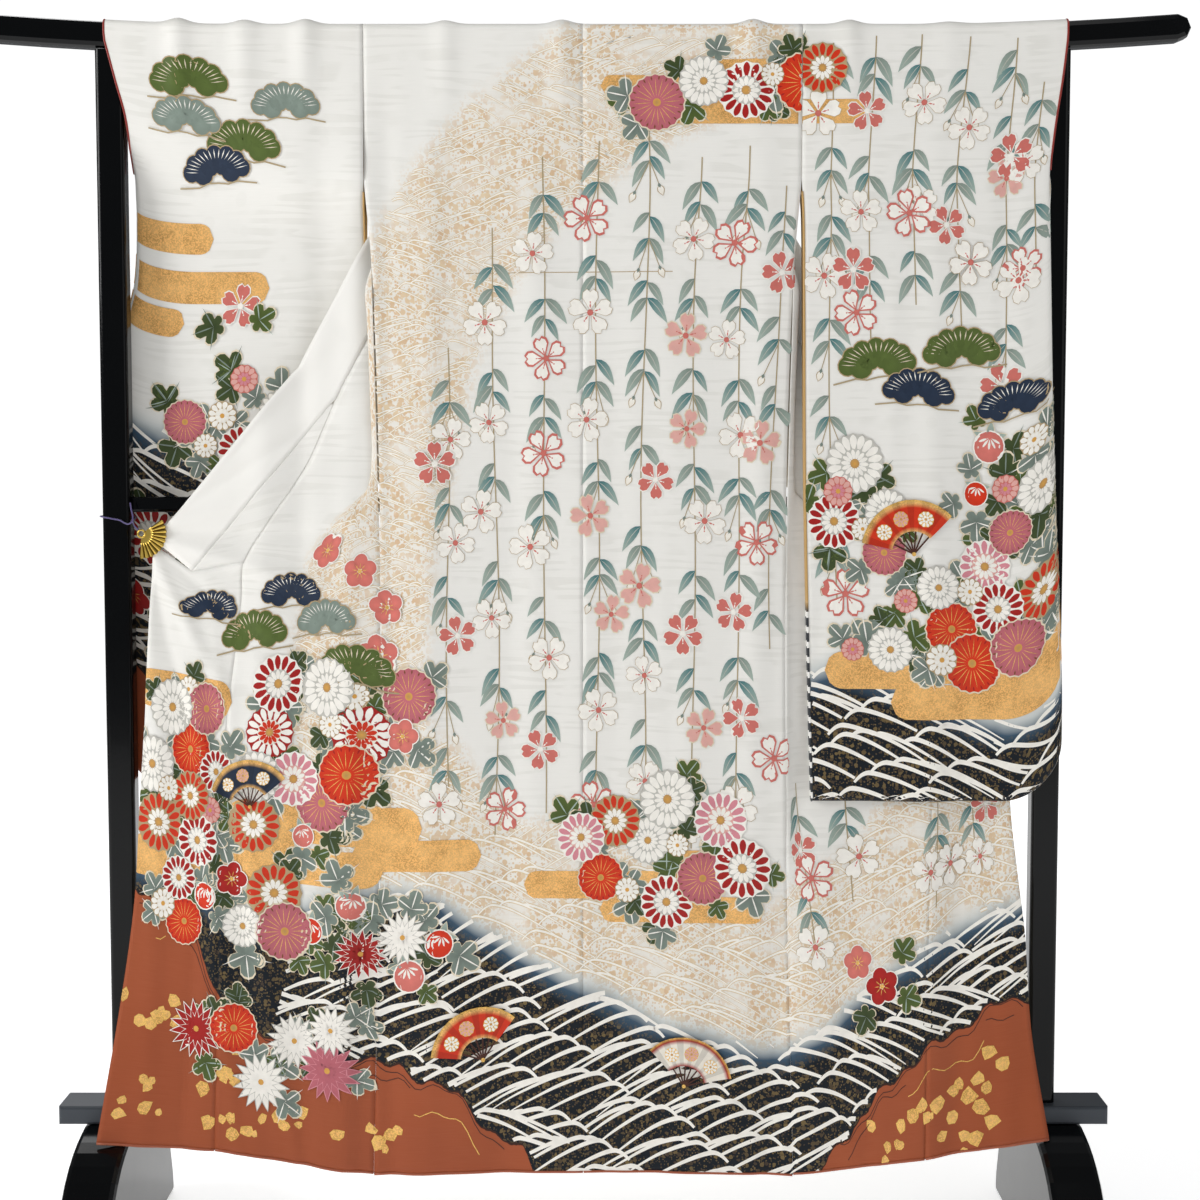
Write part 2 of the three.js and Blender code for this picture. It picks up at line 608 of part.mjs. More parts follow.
const SIDES = [
  {
    name: 'left', side: -1, table: FRONT_LEFT, outer: OKUMI_LEFT,
    arm: SLEEVE_LEFT, foldWay: 1, foldShift: 80,
  },
  {
    name: 'right', side: 1, table: FRONT_RIGHT, outer: OKUMI_RIGHT,
    arm: SLEEVE_RIGHT, foldWay: -1, foldShift: 0,
  },
];
for (const { name, side, table, outer, arm, foldWay, foldShift } of SIDES) {
  add(`back_${name}`, wall([{ rows: back(side) }]), COLOURS.satin, 0.5);
  add(`front_${name}`, wall([{ rows: front(table, side) }]), COLOURS.satin, 0.5);
  add(`okumi_${name}`, wall(okumi(table, outer, side)), COLOURS.okumi, 0.5);
  add(`sleeve_${name}`, wall(sleeve(arm, side, foldWay, foldShift)), COLOURS.sleeve, 0.5);
  add(`post_${name}`, post(side), COLOURS.lacquer, 0.2);
  add(`foot_${name}`, foot(side), COLOURS.lacquer, 0.2);
}
add('collar', wall(collar()), COLOURS.collar, 0.5);
add('top_bar', topBar(), COLOURS.lacquer, 0.2);
add('mid_rail', midRail(), COLOURS.lacquer, 0.2);
add('bottom_board', bottomBoard(), COLOURS.board, 0.6);
add('fan_clip', fanClip(), COLOURS.gold, 0.35, 1);
add('tie_cord', tieCord(), COLOURS.cord, 0.8);

export default object;
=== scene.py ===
"""A long-sleeved furisode spread over a lacquered kimono rack, back outwards.

The garment's tables and formulas are in millimetres, in the frame of the part: X to the right as
the back is seen, Y away from that side, Z up. Its meshes are in metres. A place on the cut cloth
is written as x, across from the middle of the back or of the body, and level, its height when
the cloth hangs straight down.
"""

import bpy
import numpy as np
from bpy.props import FloatProperty, FloatVectorProperty, PointerProperty
from bpy.types import Operator, Panel, PropertyGroup
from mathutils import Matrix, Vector


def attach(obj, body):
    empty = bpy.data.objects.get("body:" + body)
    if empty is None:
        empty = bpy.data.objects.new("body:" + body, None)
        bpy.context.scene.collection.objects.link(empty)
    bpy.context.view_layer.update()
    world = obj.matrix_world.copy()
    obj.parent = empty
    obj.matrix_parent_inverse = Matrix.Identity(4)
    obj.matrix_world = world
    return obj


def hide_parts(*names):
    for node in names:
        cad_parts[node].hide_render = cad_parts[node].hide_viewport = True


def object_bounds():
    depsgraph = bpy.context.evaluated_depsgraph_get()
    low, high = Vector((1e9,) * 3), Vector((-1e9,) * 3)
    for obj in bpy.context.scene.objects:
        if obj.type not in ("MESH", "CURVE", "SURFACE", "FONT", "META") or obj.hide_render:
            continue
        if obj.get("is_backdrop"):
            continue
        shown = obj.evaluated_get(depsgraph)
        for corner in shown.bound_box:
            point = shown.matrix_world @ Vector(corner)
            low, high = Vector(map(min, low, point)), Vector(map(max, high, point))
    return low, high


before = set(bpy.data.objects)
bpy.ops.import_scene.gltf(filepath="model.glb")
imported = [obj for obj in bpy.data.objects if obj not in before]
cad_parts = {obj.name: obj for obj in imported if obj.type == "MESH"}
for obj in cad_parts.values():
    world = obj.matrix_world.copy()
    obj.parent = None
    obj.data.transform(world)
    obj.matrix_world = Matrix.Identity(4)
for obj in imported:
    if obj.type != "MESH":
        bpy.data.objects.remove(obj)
CAD_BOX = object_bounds()

bl_info = {
    "name": "Furisode on a Kimono Rack",
    "version": (1, 0, 0),
    "blender": (4, 5, 0),
    "location": "3D View > Sidebar > Furisode",
    "description": "Makes the cloth, print, trim and rack finishes of a spread-out furisode",
    "category": "Add Mesh",
}

MM = 0.001

# ---- sizes of the garment
SEAM = 0.04
BODY_TOP = 1788
BODY_DEPTH = 20
SHOULDER_LINE = 1745
HEM_MIDDLE = 133
HEM_RISE = -5
COLLAR_WIDTH = 70
COLLAR_ACROSS = (0.764, 0.645)
COLLAR_TURN_GAP = 1
TURNED_SEAM = 0.12
SIDE_TURN = 1500
SLEEVE_JOIN = 1567
CUFF_END = 1555
CUFF_CLOSE = 45  # the wrist opening closes over this height
SLEEVE_BOTTOM = 678
SLEEVE_CORNER = 90
FOLD_RADIUS = 8
BAR_LEDGE = 9
TOP = BODY_TOP - BAR_LEDGE
BAR_HALF, BAR_FLAT, BAR_LIFT = 866, 500, 18
BACK_CUT, FRONT_CUT, OKUMI_CUT, SLEEVE_CUT = 310, 240, 165, 368  # widths of the cut cloth
FRONT_AT, OKUMI_AT = BACK_CUT, BACK_CUT + FRONT_CUT
SLEEVE_AT = 312
CLOTH = 1.0  # wall of the shown cloth
RIPPLE_FADE = 190
CLIP_X, CLIP_Z = -634, 1064  # the pivot of the clip


def numbers(text):
    """A table as an array: rows between commas, each of numbers."""
    return np.array([row.split() for row in text.split(",")], float)


def columns(names, text):
    """A table as one array for each named column."""
    return dict(zip(names.split(), numbers(text).T))


SIDE = columns("z x", "1567 312, 1419 300, 1100 292, 650 294, 128 306")
BACK = columns("z y", "1760 -20, 1567 -23, 1419 -27, 1100 -33, 650 -42, 128 -52")
FRONT_NAMES = "z sideX sideY turnX turnY foldX foldY edgeX edgeY edgeZ"
FRONT_LEFT = columns(FRONT_NAMES, """
    1745 312 20 258 20 176 20 95 20 1745, 1700 312 22 262 16 178 8 119 23 1700,
    1645 312 24 268 10 150 -9 149 26 1645, 1567 312 26 272 8 140 -6 190 26 1567,
    1490 306 -2 275 -9 155 -6 232 16 1490, 1419 301 -27 306 -21 176 -12 270 2 1419,
    1370 300 -28 306 -21 200 -14 296 -3 1370, 1256 297 -30 303 -24 225 -18 357 -10 1256,
    1162 295 -32 303 -27 268 -22 399 -18 1162, 1085 293 -33 318 -34 370 -32 450 -25 1085,
    1024 292 -34 335 -36 410 -35 487 -29 1024, 960 292 -36 340 -38 415 -37 492 -32 969,
    751 293 -40 345 -42 431 -42 517 -38 760, 400 299 -47 352 -50 440 -52 529 -53 425,
    130 306 -52 365 -56 450 -64 534 -70 172""")
FRONT_RIGHT = columns(FRONT_NAMES, """
    1745 312 20 258 20 176 20 95 20 1745, 1700 312 18 262 12 178 8 119 23 1700,
    1645 312 13 268 4 150 -9 149 26 1645, 1567 312 6 272 -1 140 -6 190 26 1567,
    1490 306 -9 275 -11 155 -6 232 18 1490, 1419 301 -27 305 -19 176 -10 270 10 1419,
    1370 300 -28 306 -18 200 -11 296 6 1370, 1256 297 -30 303 -20 225 -15 357 -6 1256,
    1162 295 -32 303 -24 262 -19 399 -14 1162, 1085 293 -33 306 -25 360 -21 450 -17 1085,
    1024 292 -34 306 -26 410 -23 487 -19 1024, 960 292 -36 308 -28 415 -25 492 -21 969,
    680 294 -41 312 -33 415 -30 505 -28 690, 560 296 -44 325 -42 418 -39 502 -38 580,
    400 299 -47 345 -50 420 -52 499 -53 425, 130 306 -52 360 -56 430 -62 495 -70 160""")
OKUMI_LEFT = columns("z x y", """
    1048 617 -33, 985 622 -34, 890 628 -35, 760 635 -38, 678 641 -42, 531 650 -50, 384 670 -62,
    189 700 -98""")
OKUMI_RIGHT = columns("z x y", """
    1048 617 -20, 985 621 -21, 890 624 -23, 760 620 -26, 671 620 -29, 560 632 -38, 487 641 -44,
    340 650 -60, 196 670 -98""")
OKUMI_POINT, OKUMI_CORNER, OKUMI_TIP, OKUMI_BEND = 1250, 1024, 4, 0.17
COLLAR_END_X, COLLAR_END_Z = 563, 1010
COLLAR_TURN_LEFT = columns("z turn", """
    1700 166, 1645 88, 1567 33, 1490 14, 1419 -5, 1370 -3, 1256 0, 1010 0""")
COLLAR_TURN_RIGHT = columns("z turn", """
    1700 166, 1645 88, 1567 33, 1490 16, 1419 8, 1370 5, 1256 0, 1010 0""")
COLLAR_NECK = columns("seamX seamZ freeX freeZ freeY", """
    0 1745 0 1675 26, 32 1745 19 1675 26, 64 1745 36 1675 27, 94 1744 48 1672 29, 107 1722 57 1668 33""")
SLEEVE_NAMES = "z nearIn nearOut farIn farOut nearX farX"
SLEEVE_LEFT = columns(SLEEVE_NAMES, """
    1760 -20 -20 20 20 679 679, 1700 -21 -21 22 21 664 664, 1640 -22 -14 24 26 650 650,
    1567 -23 12 26 30 647 647, 1535 -7 18 28 31 647 647, 1500 10 21 31 33 647 647,
    1400 17 24 34 37 652 652, 1300 17 25 36 38 674 674, 1105 17 26 38 39 680 680, 678 18 27 40 41 680 680""")
SLEEVE_RIGHT = columns(SLEEVE_NAMES, """
    1760 -20 -20 20 20 688 686, 1700 -21 -23 18 21 681 651, 1640 -22 -27 13 4 672 646,
    1590 -23 -30 8 -20 666 648, 1555 -23 -32 4 -25 664 664, 1500 -27 -34 -5 -25 665 665,
    1419 -33 -37 -12 -25 667 667, 1256 -38 -40 -21 -27 671 671, 1105 -42 -43 -29 -30 675 675,
    773 -47 -48 -34 -35 690 690, 678 -49 -50 -36 -37 691 691""")
SLEEVE_INNER = columns("z x", "1567 312.3, 1520 315, 1400 316, 1105 319, 678 331")
# middle, height, half width
RIPPLES = numbers("-575 7 17, -481 6 18, -395 7 18, -196 5 17, -30 6 17, 242 7 17, 379 6 17, 520 3 22")
# middle at the hem, half width, depth, top, lean, rise. After the eighth they are soft creases,
# too fine for the solids.
FOLDS = numbers("""
    -545 34 6 940 0.02 420, -372 40 7 1000 0.04 420, -190 60 6 1450 -0.03 420, -20 46 5 1350 0.02 420,
    150 55 6 1500 -0.02 420, 322 38 6 760 0.06 420, 470 52 8 1300 0.03 420, 600 36 6 1200 0.02 420,
    -640 15 2.2 900 0.05 200, -585 11 -2.1 830 0.07 160, -500 12 3.1 1010 -0.09 240,
    -455 16 -2.8 960 -0.11 220, -415 10 2.2 1030 -0.15 180, -330 13 -2.0 900 0.03 260,
    -255 17 2.1 1600 -0.05 300, -120 20 -1.8 1500 0.02 420, 62 18 2.0 1600 0.01 380,
    108 14 -1.5 1200 0.03 260, 212 20 2.2 1450 0.04 320, 262 15 -2.4 1150 0.10 260,
    392 18 2.1 700 0.05 180, 540 17 -2.1 1500 0.02 260, 430 15 1.7 1550 0.01 240,
    655 14 1.8 1350 -0.01 300, -470 24 4.5 1770 0.01 260, -405 17 -3.4 1770 0.00 240,
    -345 20 4.2 1770 0.01 300, -280 16 -3.1 1770 0.00 200, -232 20 3.6 1770 0.01 260,
    -70 24 2.8 1760 0.00 300, 245 22 3.4 1765 0.01 300, 500 22 3.4 1770 0.00 300,
    590 16 -2.8 1770 0.01 260""")
# creases drawn tight from the clip: x and z of their far end, half width, depth
PULLS = numbers("""
    -352 1362 17 5.6, -330 1255 12 -3.8, -345 1160 15 5.4, -318 1060 12 -3.2, -372 985 17 5.4,
    -440 880 14 -3.2, -500 790 17 5.0, -560 730 13 -2.8, -420 1290 9 2.6, -610 640 18 4.4""")


def at(table, column, value, by="z"):
    """A column at a value of the table's first one: a cubic curve through its rows, whose slope at
    a row is that of the line between the row's neighbours, held level past both ends."""
    order = np.argsort(table[by])
    keys, values = table[by][order], table[column][order]
    slopes = np.gradient(values, keys, edge_order=1)
    slopes[1:-1] = (values[2:] - values[:-2]) / (keys[2:] - keys[:-2])
    value = np.clip(value, keys[0], keys[-1])
    i = np.clip(np.searchsorted(keys, value, side="right") - 1, 0, len(keys) - 2)
    span = keys[i + 1] - keys[i]
    t = (value - keys[i]) / span
    return (
        (2 * t**3 - 3 * t**2 + 1) * values[i] + (t**3 - 2 * t**2 + t) * span * slopes[i]
        + (3 * t**2 - 2 * t**3) * values[i + 1] + (t**3 - t**2) * span * slopes[i + 1]
    )


def smoothstep(value, low, high):
    """An S-curve from 0 at low to 1 at high: three times the square less twice the cube."""
    t = np.clip((value - low) / (high - low), 0, 1)
    return t * t * (3 - 2 * t)


def smooth_through(stops, u):
    """Catmull-Rom curve through stops, along their first axis, at u from 0 to 1. Each end is drawn
    on by as much again as its last step."""
    stops = [2 * stops[0] - stops[1], *stops, 2 * stops[-1] - stops[-2]]
    u = np.asarray(u, float)
    t = u * (len(stops) - 3)
    i = np.clip(np.floor(t).astype(int), 0, len(stops) - 4)
    t = t - i
    weights = (2 * t**2 - t - t**3, 2 - 5 * t**2 + 3 * t**3, t + 4 * t**2 - 3 * t**3, t**3 - t**2)
    return sum(
        stop * sum(np.where(i + k == n, weight, 0) for k, weight in enumerate(weights)) / 2
        for n, stop in enumerate(stops)
    )


def unit(ways):
    """Directions made one long."""
    return ways / np.maximum(np.linalg.norm(ways, axis=-1, keepdims=True), 1e-9)


def run_along(path):
    """How far each point of a path lies along it."""
    return np.concatenate([[0], np.cumsum(np.linalg.norm(np.diff(path, axis=0), axis=1))])


def mix(a, b, share):
    """The value that lies share of the way from a to b."""
    return a + (b - a) * share


def bar_lift(x):
    """How far the bar rises at x: nothing in the middle, then the power 1.5 of the way out."""
    return BAR_LIFT * np.maximum(0, (np.abs(x) - BAR_FLAT) / (BAR_HALF - BAR_FLAT)) ** 1.5


def ripple(x):
    """Height of the ripples over the bar at x: a bell curve for each."""
    return sum(high * np.exp(-(((x - middle) / wide) ** 2)) for middle, high, wide in RIPPLES)


def folds(x, z):
    """Depth of the upright folds: a bell curve across each, times an S-curve below its top."""
    return sum(
        deep * smoothstep(top - z, 0, rise)
        * np.exp(-(((x - middle - lean * (z - HEM_MIDDLE)) / wide) ** 2))
        for middle, wide, deep, top, lean, rise in FOLDS
    )


def pulls(x, z):
    """Depth of the creases that the clip draws in the left front: a bell curve across each, times
    the square root of a sine of the way along it."""
    deep = 0.0
    for end_x, end_z, wide, depth in PULLS:
        way_x, way_z = end_x - CLIP_X, end_z - CLIP_Z
        long = np.hypot(way_x, way_z)
        along = ((x - CLIP_X) * way_x + (z - CLIP_Z) * way_z) / long**2
        off = ((x - CLIP_X) * way_z - (z - CLIP_Z) * way_x) / long
        spread = wide * (0.4 + 0.6 * np.clip(along, 0, 1))
        deep = deep + depth * np.exp(-((off / spread) ** 2)) * np.sqrt(
            np.sin(np.pi * np.clip(along, 0, 1)))
    return deep


def undulation(x, z):
    """Slow swells of hanging silk: the product of two sines, the first bent by a third."""
    return 0.9 * np.sin(x / 31 + 1.6 * np.sin(z / 210)) * np.sin(z / 290 + x / 170)


def over_bar(steps):
    """The cloth's way over the bar from the far side to the near one, a quarter circle over each
    edge: y, z, and the two parts of the direction outwards."""
    turn = np.linspace(0, np.pi / 2, steps + 1)
    path = [np.array([[BODY_DEPTH, SHOULDER_LINE, 1, 0]])]
    for side, turns in ((1, turn), (-1, turn[::-1])):
        out_y, out_z = side * np.cos(turns), np.sin(turns)
        y = side * (BODY_DEPTH - BAR_LEDGE) + BAR_LEDGE * out_y
        path.append(np.stack([y, TOP + BAR_LEDGE * out_z, out_y, out_z], 1))
    return np.concatenate(path)


def stack(x, y, z):
    """Three arrays as one array of points."""
    return np.stack(np.broadcast_arrays(x, y, z), -1)


def bar_rows(x, path):
    """Rows of points over the bar, one for each step of the path, moved out by the ripples."""
    y, z, out_y, out_z = path.T[:, :, None]
    return stack(x, y + ripple(x) * out_y, z + bar_lift(x) + ripple(x) * out_z)


def back_points(side, u, level):
    """Back panel: straight down from the bar, with ripples near the top and folds below."""
    share = (TOP - level) / (TOP - HEM_MIDDLE)
    z = TOP + (HEM_MIDDLE + HEM_RISE * u**2 - TOP) * share
    x = side * mix(SEAM / 2, at(SIDE, "x", z) - SEAM / 2, u)
    fade = 1 - smoothstep(TOP - z, 0, RIPPLE_FADE)
    y = at(BACK, "y", z) - ripple(x) * fade - folds(x, z) - undulation(x, z) * (1 - fade)
    return stack(x, y, z)


def front_points(table, side, u, z):
    """Front: at each height a smooth curve from the side seam over a turn and a fold to its edge."""
    value = {name: at(table, name, z) for name in FRONT_NAMES.split()[1:]}
    seam = np.where(
        z > SIDE_TURN,
        np.minimum(value["sideX"], at(SIDE, "x", z) - SEAM),
        np.maximum(value["sideX"], at(SIDE, "x", z) + TURNED_SEAM),
    )
    top = SHOULDER_LINE - SEAM
    z_side, z_edge = np.minimum(z, top), np.minimum(value["edgeZ"], top)
    u = np.broadcast_to(u, np.shape(z))

    def across(first, way):
        turn, fold, edge = (value[name + way] for name in ("turn", "fold", "edge"))
        stops = [first, turn, mix(turn, fold, 0.5), fold, mix(fold, edge, 0.5), edge]
        return smooth_through(np.array(stops), u)

    heights = np.array([mix(z_side, z_edge, n / 5) for n in range(6)])
    return stack(side * across(seam, "X"), across(value["sideY"], "Y"), smooth_through(heights, u))


def folded(points):
    """Points of the near cloth moved out by the folds and the slow swells."""
    x, y, z = np.moveaxis(points, -1, 0)
    out = folds(x, z) + pulls(x, z) + undulation(x, z) * smoothstep(SIDE_TURN - z, 0, 200)
    return stack(x, y - out, z)


def outwards(points, side, distance):
    """Points moved sideways, away from the middle of the back."""
    return points + np.multiply.outer(np.broadcast_to(distance, points.shape[:-1]), (side, 0, 0))


def collar_corner(outer, side):
    """The point where the collar's seam ends, at the okumi's corner."""
    return np.array([side * COLLAR_END_X, at(outer, "y", COLLAR_END_Z), COLLAR_END_Z])


def okumi_start(table, side):
    """The point at the top of the okumi."""
    return outwards(front_points(table, side, 1.0, np.array([OKUMI_POINT * 1.0]))[0], side, OKUMI_TIP)


def okumi_upper(table, outer, side, u, z):
    """Upper okumi: straight across from the front's edge to the line of the collar's seam."""
    inner = outwards(front_points(table, side, 1.0, z), side, SEAM)
    start = okumi_start(table, side)
    share = ((OKUMI_POINT - z) / (OKUMI_POINT - OKUMI_CORNER))[..., None]
    edge = mix(start, collar_corner(outer, side), share)
    return folded(mix(inner, edge, u[..., None]))


def okumi_lower(table, outer, side, u, level):
    """Lower okumi: straight across from the front's edge to the free edge. The first rows keep the
    bent line along the upper okumi's end and the end of the collar, which dies out downwards."""
    v = (OKUMI_CORNER - level) / (OKUMI_CORNER - FRONT_LEFT["z"][-1])
    u = u[..., None]

    def inside(share):
        z = mix(OKUMI_CORNER, FRONT_LEFT["z"][-1], share)
        return outwards(front_points(table, side, 1.0, z), side, SEAM)

    def outside(share):
        z = mix(outer["z"][0], outer["z"][-1], share)
        return stack(side * at(outer, "x", z), at(outer, "y", z), z)

    corner, first = collar_corner(outer, side), np.zeros_like(v)
    top_in, top_out = inside(first), outside(first)
    bent = np.where(u < 0.6, mix(top_in, corner, u / 0.6), mix(corner, top_out, (u - 0.6) / 0.4))
    bend = (1 - smoothstep(v, 0, OKUMI_BEND))[..., None]
    straight = mix(inside(v), outside(v), u)
    return folded(straight + (bent - mix(top_in, top_out, u)) * bend)


def round_edge(distance):
    """Quarter circle from 0 at a folded edge to 1 at the fold's radius from it."""
    return np.sqrt(1 - (1 - np.clip(distance / FOLD_RADIUS, 0, 1)) ** 2)


def sleeve_points(table, side, layer, u, level):
    """One layer of a sleeve: between the depths at the body and at the cuff by an S-curve, drawn
    to the other layer by a quarter circle at the closed edges, under ripples and folds."""
    outer = at(table, layer + "X", level)
    x = mix(at(SLEEVE_INNER, "x", level), outer, u)
    past = np.clip((x - (outer - SLEEVE_CORNER)) / SLEEVE_CORNER, 0, 1)
    bottom = SLEEVE_BOTTOM + SLEEVE_CORNER * (1 - np.sqrt(1 - past**2))
    z = mix(TOP, bottom, (TOP - level) / (TOP - SLEEVE_BOTTOM))
    spread = smoothstep(u, 0, 1)
    near = mix(at(table, "nearIn", z), at(table, "nearOut", z), spread)
    far = mix(at(table, "farIn", z), at(table, "farOut", z), spread)
    closing = np.clip((CUFF_END + CUFF_CLOSE - level) / CUFF_CLOSE, 0, 1)
    thick = mix(1, round_edge(outer - x), closing) * round_edge(z - bottom)
    fade = 1 - smoothstep(TOP - z, 0, RIPPLE_FADE)
    way = -1 if layer == "near" else 1
    left = side < 0
    y = mix((near + far) / 2, near if layer == "near" else far, thick)
    y = y + way * ripple(side * x) * fade
    y = y + (1 if left else -1) * folds(side * x - (80 if left else 0), z)
    y = y - undulation(side * x, z) * (1 - fade) * thick
    return stack(side * x, y, z + bar_lift(x) * fade)


# ---- cloth as grids
class Cloth:
    """One face of a piece of cloth as a grid of points and of directions outwards. across goes
    from 0 at its inner edge to 1 at its outer one, and levels go down."""

    def __init__(self, across, levels, points, facing, seams=(), width=300):
        self.across, self.levels, self.facing = across, levels, facing
        self.points = points
        if seams:  # the cloth dips where it is turned in along a seam
            dip = sum(np.exp(-((np.abs(across - u) * width / 3.5) ** 2)) for u in seams)
            self.points = points - self.normals() * (0.4 * dip)[None, :, None]
        self.outwards = self.normals()

    def normals(self):
        """Directions outwards: the cross product of the grid's two slopes, made one long."""
        down, out = np.gradient(self.points, axis=0), np.gradient(self.points, axis=1)
        return unit(np.cross(down, out) * self.facing)

    def sample(self, u, level, lift):
        """Points at u and level, lift above the cloth's middle: bilinear between the grid's."""
        column = np.interp(u, self.across, np.arange(len(self.across)))
        row = np.interp(-level, -self.levels, np.arange(len(self.levels)))
        c = np.minimum(column.astype(int), len(self.across) - 2)
        r = np.minimum(row.astype(int), len(self.levels) - 2)
        s, t = (column - c)[:, None], (row - r)[:, None]
        place, way = (
            mix(mix(g[r, c], g[r, c + 1], s), mix(g[r + 1, c], g[r + 1, c + 1], s), t)
            for g in (self.points, self.outwards)
        )
        return place + way * np.reshape(lift, (-1, 1))


def spaced(start, end, step):
    """Even steps of about the given size from start to end."""
    return np.linspace(start, end, int(np.ceil(abs(end - start) / step)) + 1)


SIDES = {
    "left": (-1, FRONT_LEFT, OKUMI_LEFT, SLEEVE_LEFT, COLLAR_TURN_LEFT),
    "right": (1, FRONT_RIGHT, OKUMI_RIGHT, SLEEVE_RIGHT, COLLAR_TURN_RIGHT),
}


def body_cloths(step):
    """The back, front and lower okumi of each side as grids of the near cloth."""
    made, end = {}, FRONT_LEFT["z"][-1]
    for name, (side, table, outer, *_) in SIDES.items():
        for panel, width, top, bottom, seams, points_at in (
                ("back", BACK_CUT, TOP, HEM_MIDDLE, (0, 1), lambda u, z: back_points(side, u, z)),
                ("front", FRONT_CUT, SHOULDER_LINE, end, (0, 1),
                 lambda u, z: folded(front_points(table, side, u, z))),
                ("okumi", OKUMI_CUT, OKUMI_CORNER, end, (0,),
                 lambda u, z: okumi_lower(table, outer, side, u, z))):
            u, levels = spaced(0, width, step) / width, spaced(top, bottom, step)
            points = points_at(*np.meshgrid(u, levels))
            made[f"{panel}_{name}"] = Cloth(u, levels, points, side, seams, width)
    return made


def sleeve_cloths(step):
    """The near and the far layer of each sleeve as grids."""
    made = {}
    edge = np.array([0.985, 0.990, 0.994, 0.997, 1.0])  # close rows where the cloth turns over
    u = np.concatenate([spaced(0, 0.975 * SLEEVE_CUT, step) / SLEEVE_CUT, edge])
    foot = SLEEVE_BOTTOM + np.array([7.0, 4.5, 2.5, 1.0, 0.0])
    levels = np.concatenate([spaced(TOP, SLEEVE_BOTTOM + 11, step), foot])
    us, zs = np.meshgrid(u, levels)
    for name, (side, _, _, arm, _) in SIDES.items():
        for layer, way in (("near", 1), ("far", -1)):
            points = sleeve_points(arm, side, layer, us, zs)
            made[f"{layer}_{name}"] = Cloth(u, levels, points, side * way)
    return made


def collar_rows(side, table, outer, turns, step):
    """The collar's two edges on one side. Behind the neck a smooth curve runs through the rows of
    its table. Then the free edge stands off the front's edge by the collar's width, in a
    direction that turns about the seam, and last it lies beside the line to the okumi's corner."""

    def turned(seam, z):
        turn = np.radians(at(turns, "turn", z))
        across_x, across_z = COLLAR_ACROSS
        way = stack(side * across_x * np.cos(turn), np.sin(turn), across_z * np.cos(turn))
        gap = (SEAM * 2 + COLLAR_TURN_GAP * np.abs(np.sin(turn)))[:, None]
        return np.stack([seam + way * gap, seam + way * COLLAR_WIDTH], 1)

    neck = COLLAR_NECK
    seam = stack(side * np.maximum(neck["seamX"] - SEAM * 2, 0), BODY_DEPTH, neck["seamZ"] - SEAM * 3)
    free = stack(side * neck["freeX"], neck["freeY"], neck["freeZ"])
    z = spaced(1700, OKUMI_POINT, step)[:-1]
    edge = front_points(table, side, 1.0, z)
    fall = turned(edge, z)
    stops = np.concatenate([np.stack([seam, free], 1), fall[:1]])
    u = np.linspace(0, 1, 26)[:-1]
    neck_rows = smooth_through(stops, u[:, None, None])
    v = spaced(0, 300, step) / 300
    line = mix(okumi_start(table, side), collar_corner(outer, side), v[:, None])
    last = turned(line, mix(OKUMI_POINT, COLLAR_END_Z, v))
    return np.concatenate([neck_rows, fall, last])


def collar_points(step):
    """The whole collar from its left end to its right one, across from the seam to the free edge."""
    halves = [collar_rows(side, front, outer, turns, step)
              for side, front, outer, _, turns in SIDES.values()]
    rows = np.concatenate([halves[0][1:][::-1], halves[1]])
    u = np.linspace(0, 1, 12)[None, :, None]
    return folded(mix(rows[:, :1], rows[:, 1:], u))


# ---- meshes from arrays
def halves(quads):
    """Two triangles for each face of four sides."""
    return np.concatenate([quads[:, [0, 1, 2]], quads[:, [0, 2, 3]]])


def ring_faces(rings, sides):
    """Four-sided faces between rings of points that close on themselves."""
    ids, first = np.arange(sides), (np.arange(rings - 1) * sides)[:, None]
    after = (ids + 1) % sides
    corners = (first + ids, first + after, first + sides + after, first + sides + ids)
    return np.stack(corners, -1).reshape(-1, 4)


def grid_faces(rows, across):
    """Four-sided faces of a grid of rows times across points."""
    first = (np.arange(rows - 1)[:, None] * across + np.arange(across - 1)).ravel()
    return np.stack([first, first + across, first + across + 1, first + 1], 1)


def new_mesh(name, points, faces, uv=None, values=None, dyes=None, smooth=True):
    """An object from points in millimetres and faces that name them. uv is one place on the cut
    cloth, in metres, for each point, values are named numbers and dyes are colours."""
    mesh = bpy.data.meshes.new(name)
    mesh.from_pydata((points * MM).tolist(), [], faces.tolist())
    if uv is not None:
        layer = mesh.uv_layers.new(name="cut")
        layer.uv.foreach_set("vector", uv[faces.ravel()].astype(np.float32).ravel())
    for label, numbers in (values or {}).items():
        attribute = mesh.attributes.new(label, "FLOAT", "POINT")
        attribute.data.foreach_set("value", numbers.astype(np.float32))
    if dyes is not None:
        colours = mesh.color_attributes.new("dye", "FLOAT_COLOR", "POINT")
        colours.data.foreach_set("color", dyes.astype(np.float32).ravel())
    mesh.polygons.foreach_set("use_smooth", np.full(len(mesh.polygons), smooth))
    mesh.update()
    made = bpy.data.objects.new(name, mesh)
    bpy.context.scene.collection.objects.link(made)
    return made


def welded(points, faces):
    """Points that share a place made one, with each face's own numbers and the first of each."""
    _, first, same = np.unique(np.round(points * 50), axis=0, return_index=True, return_inverse=True)
    return first, same.ravel()[faces]


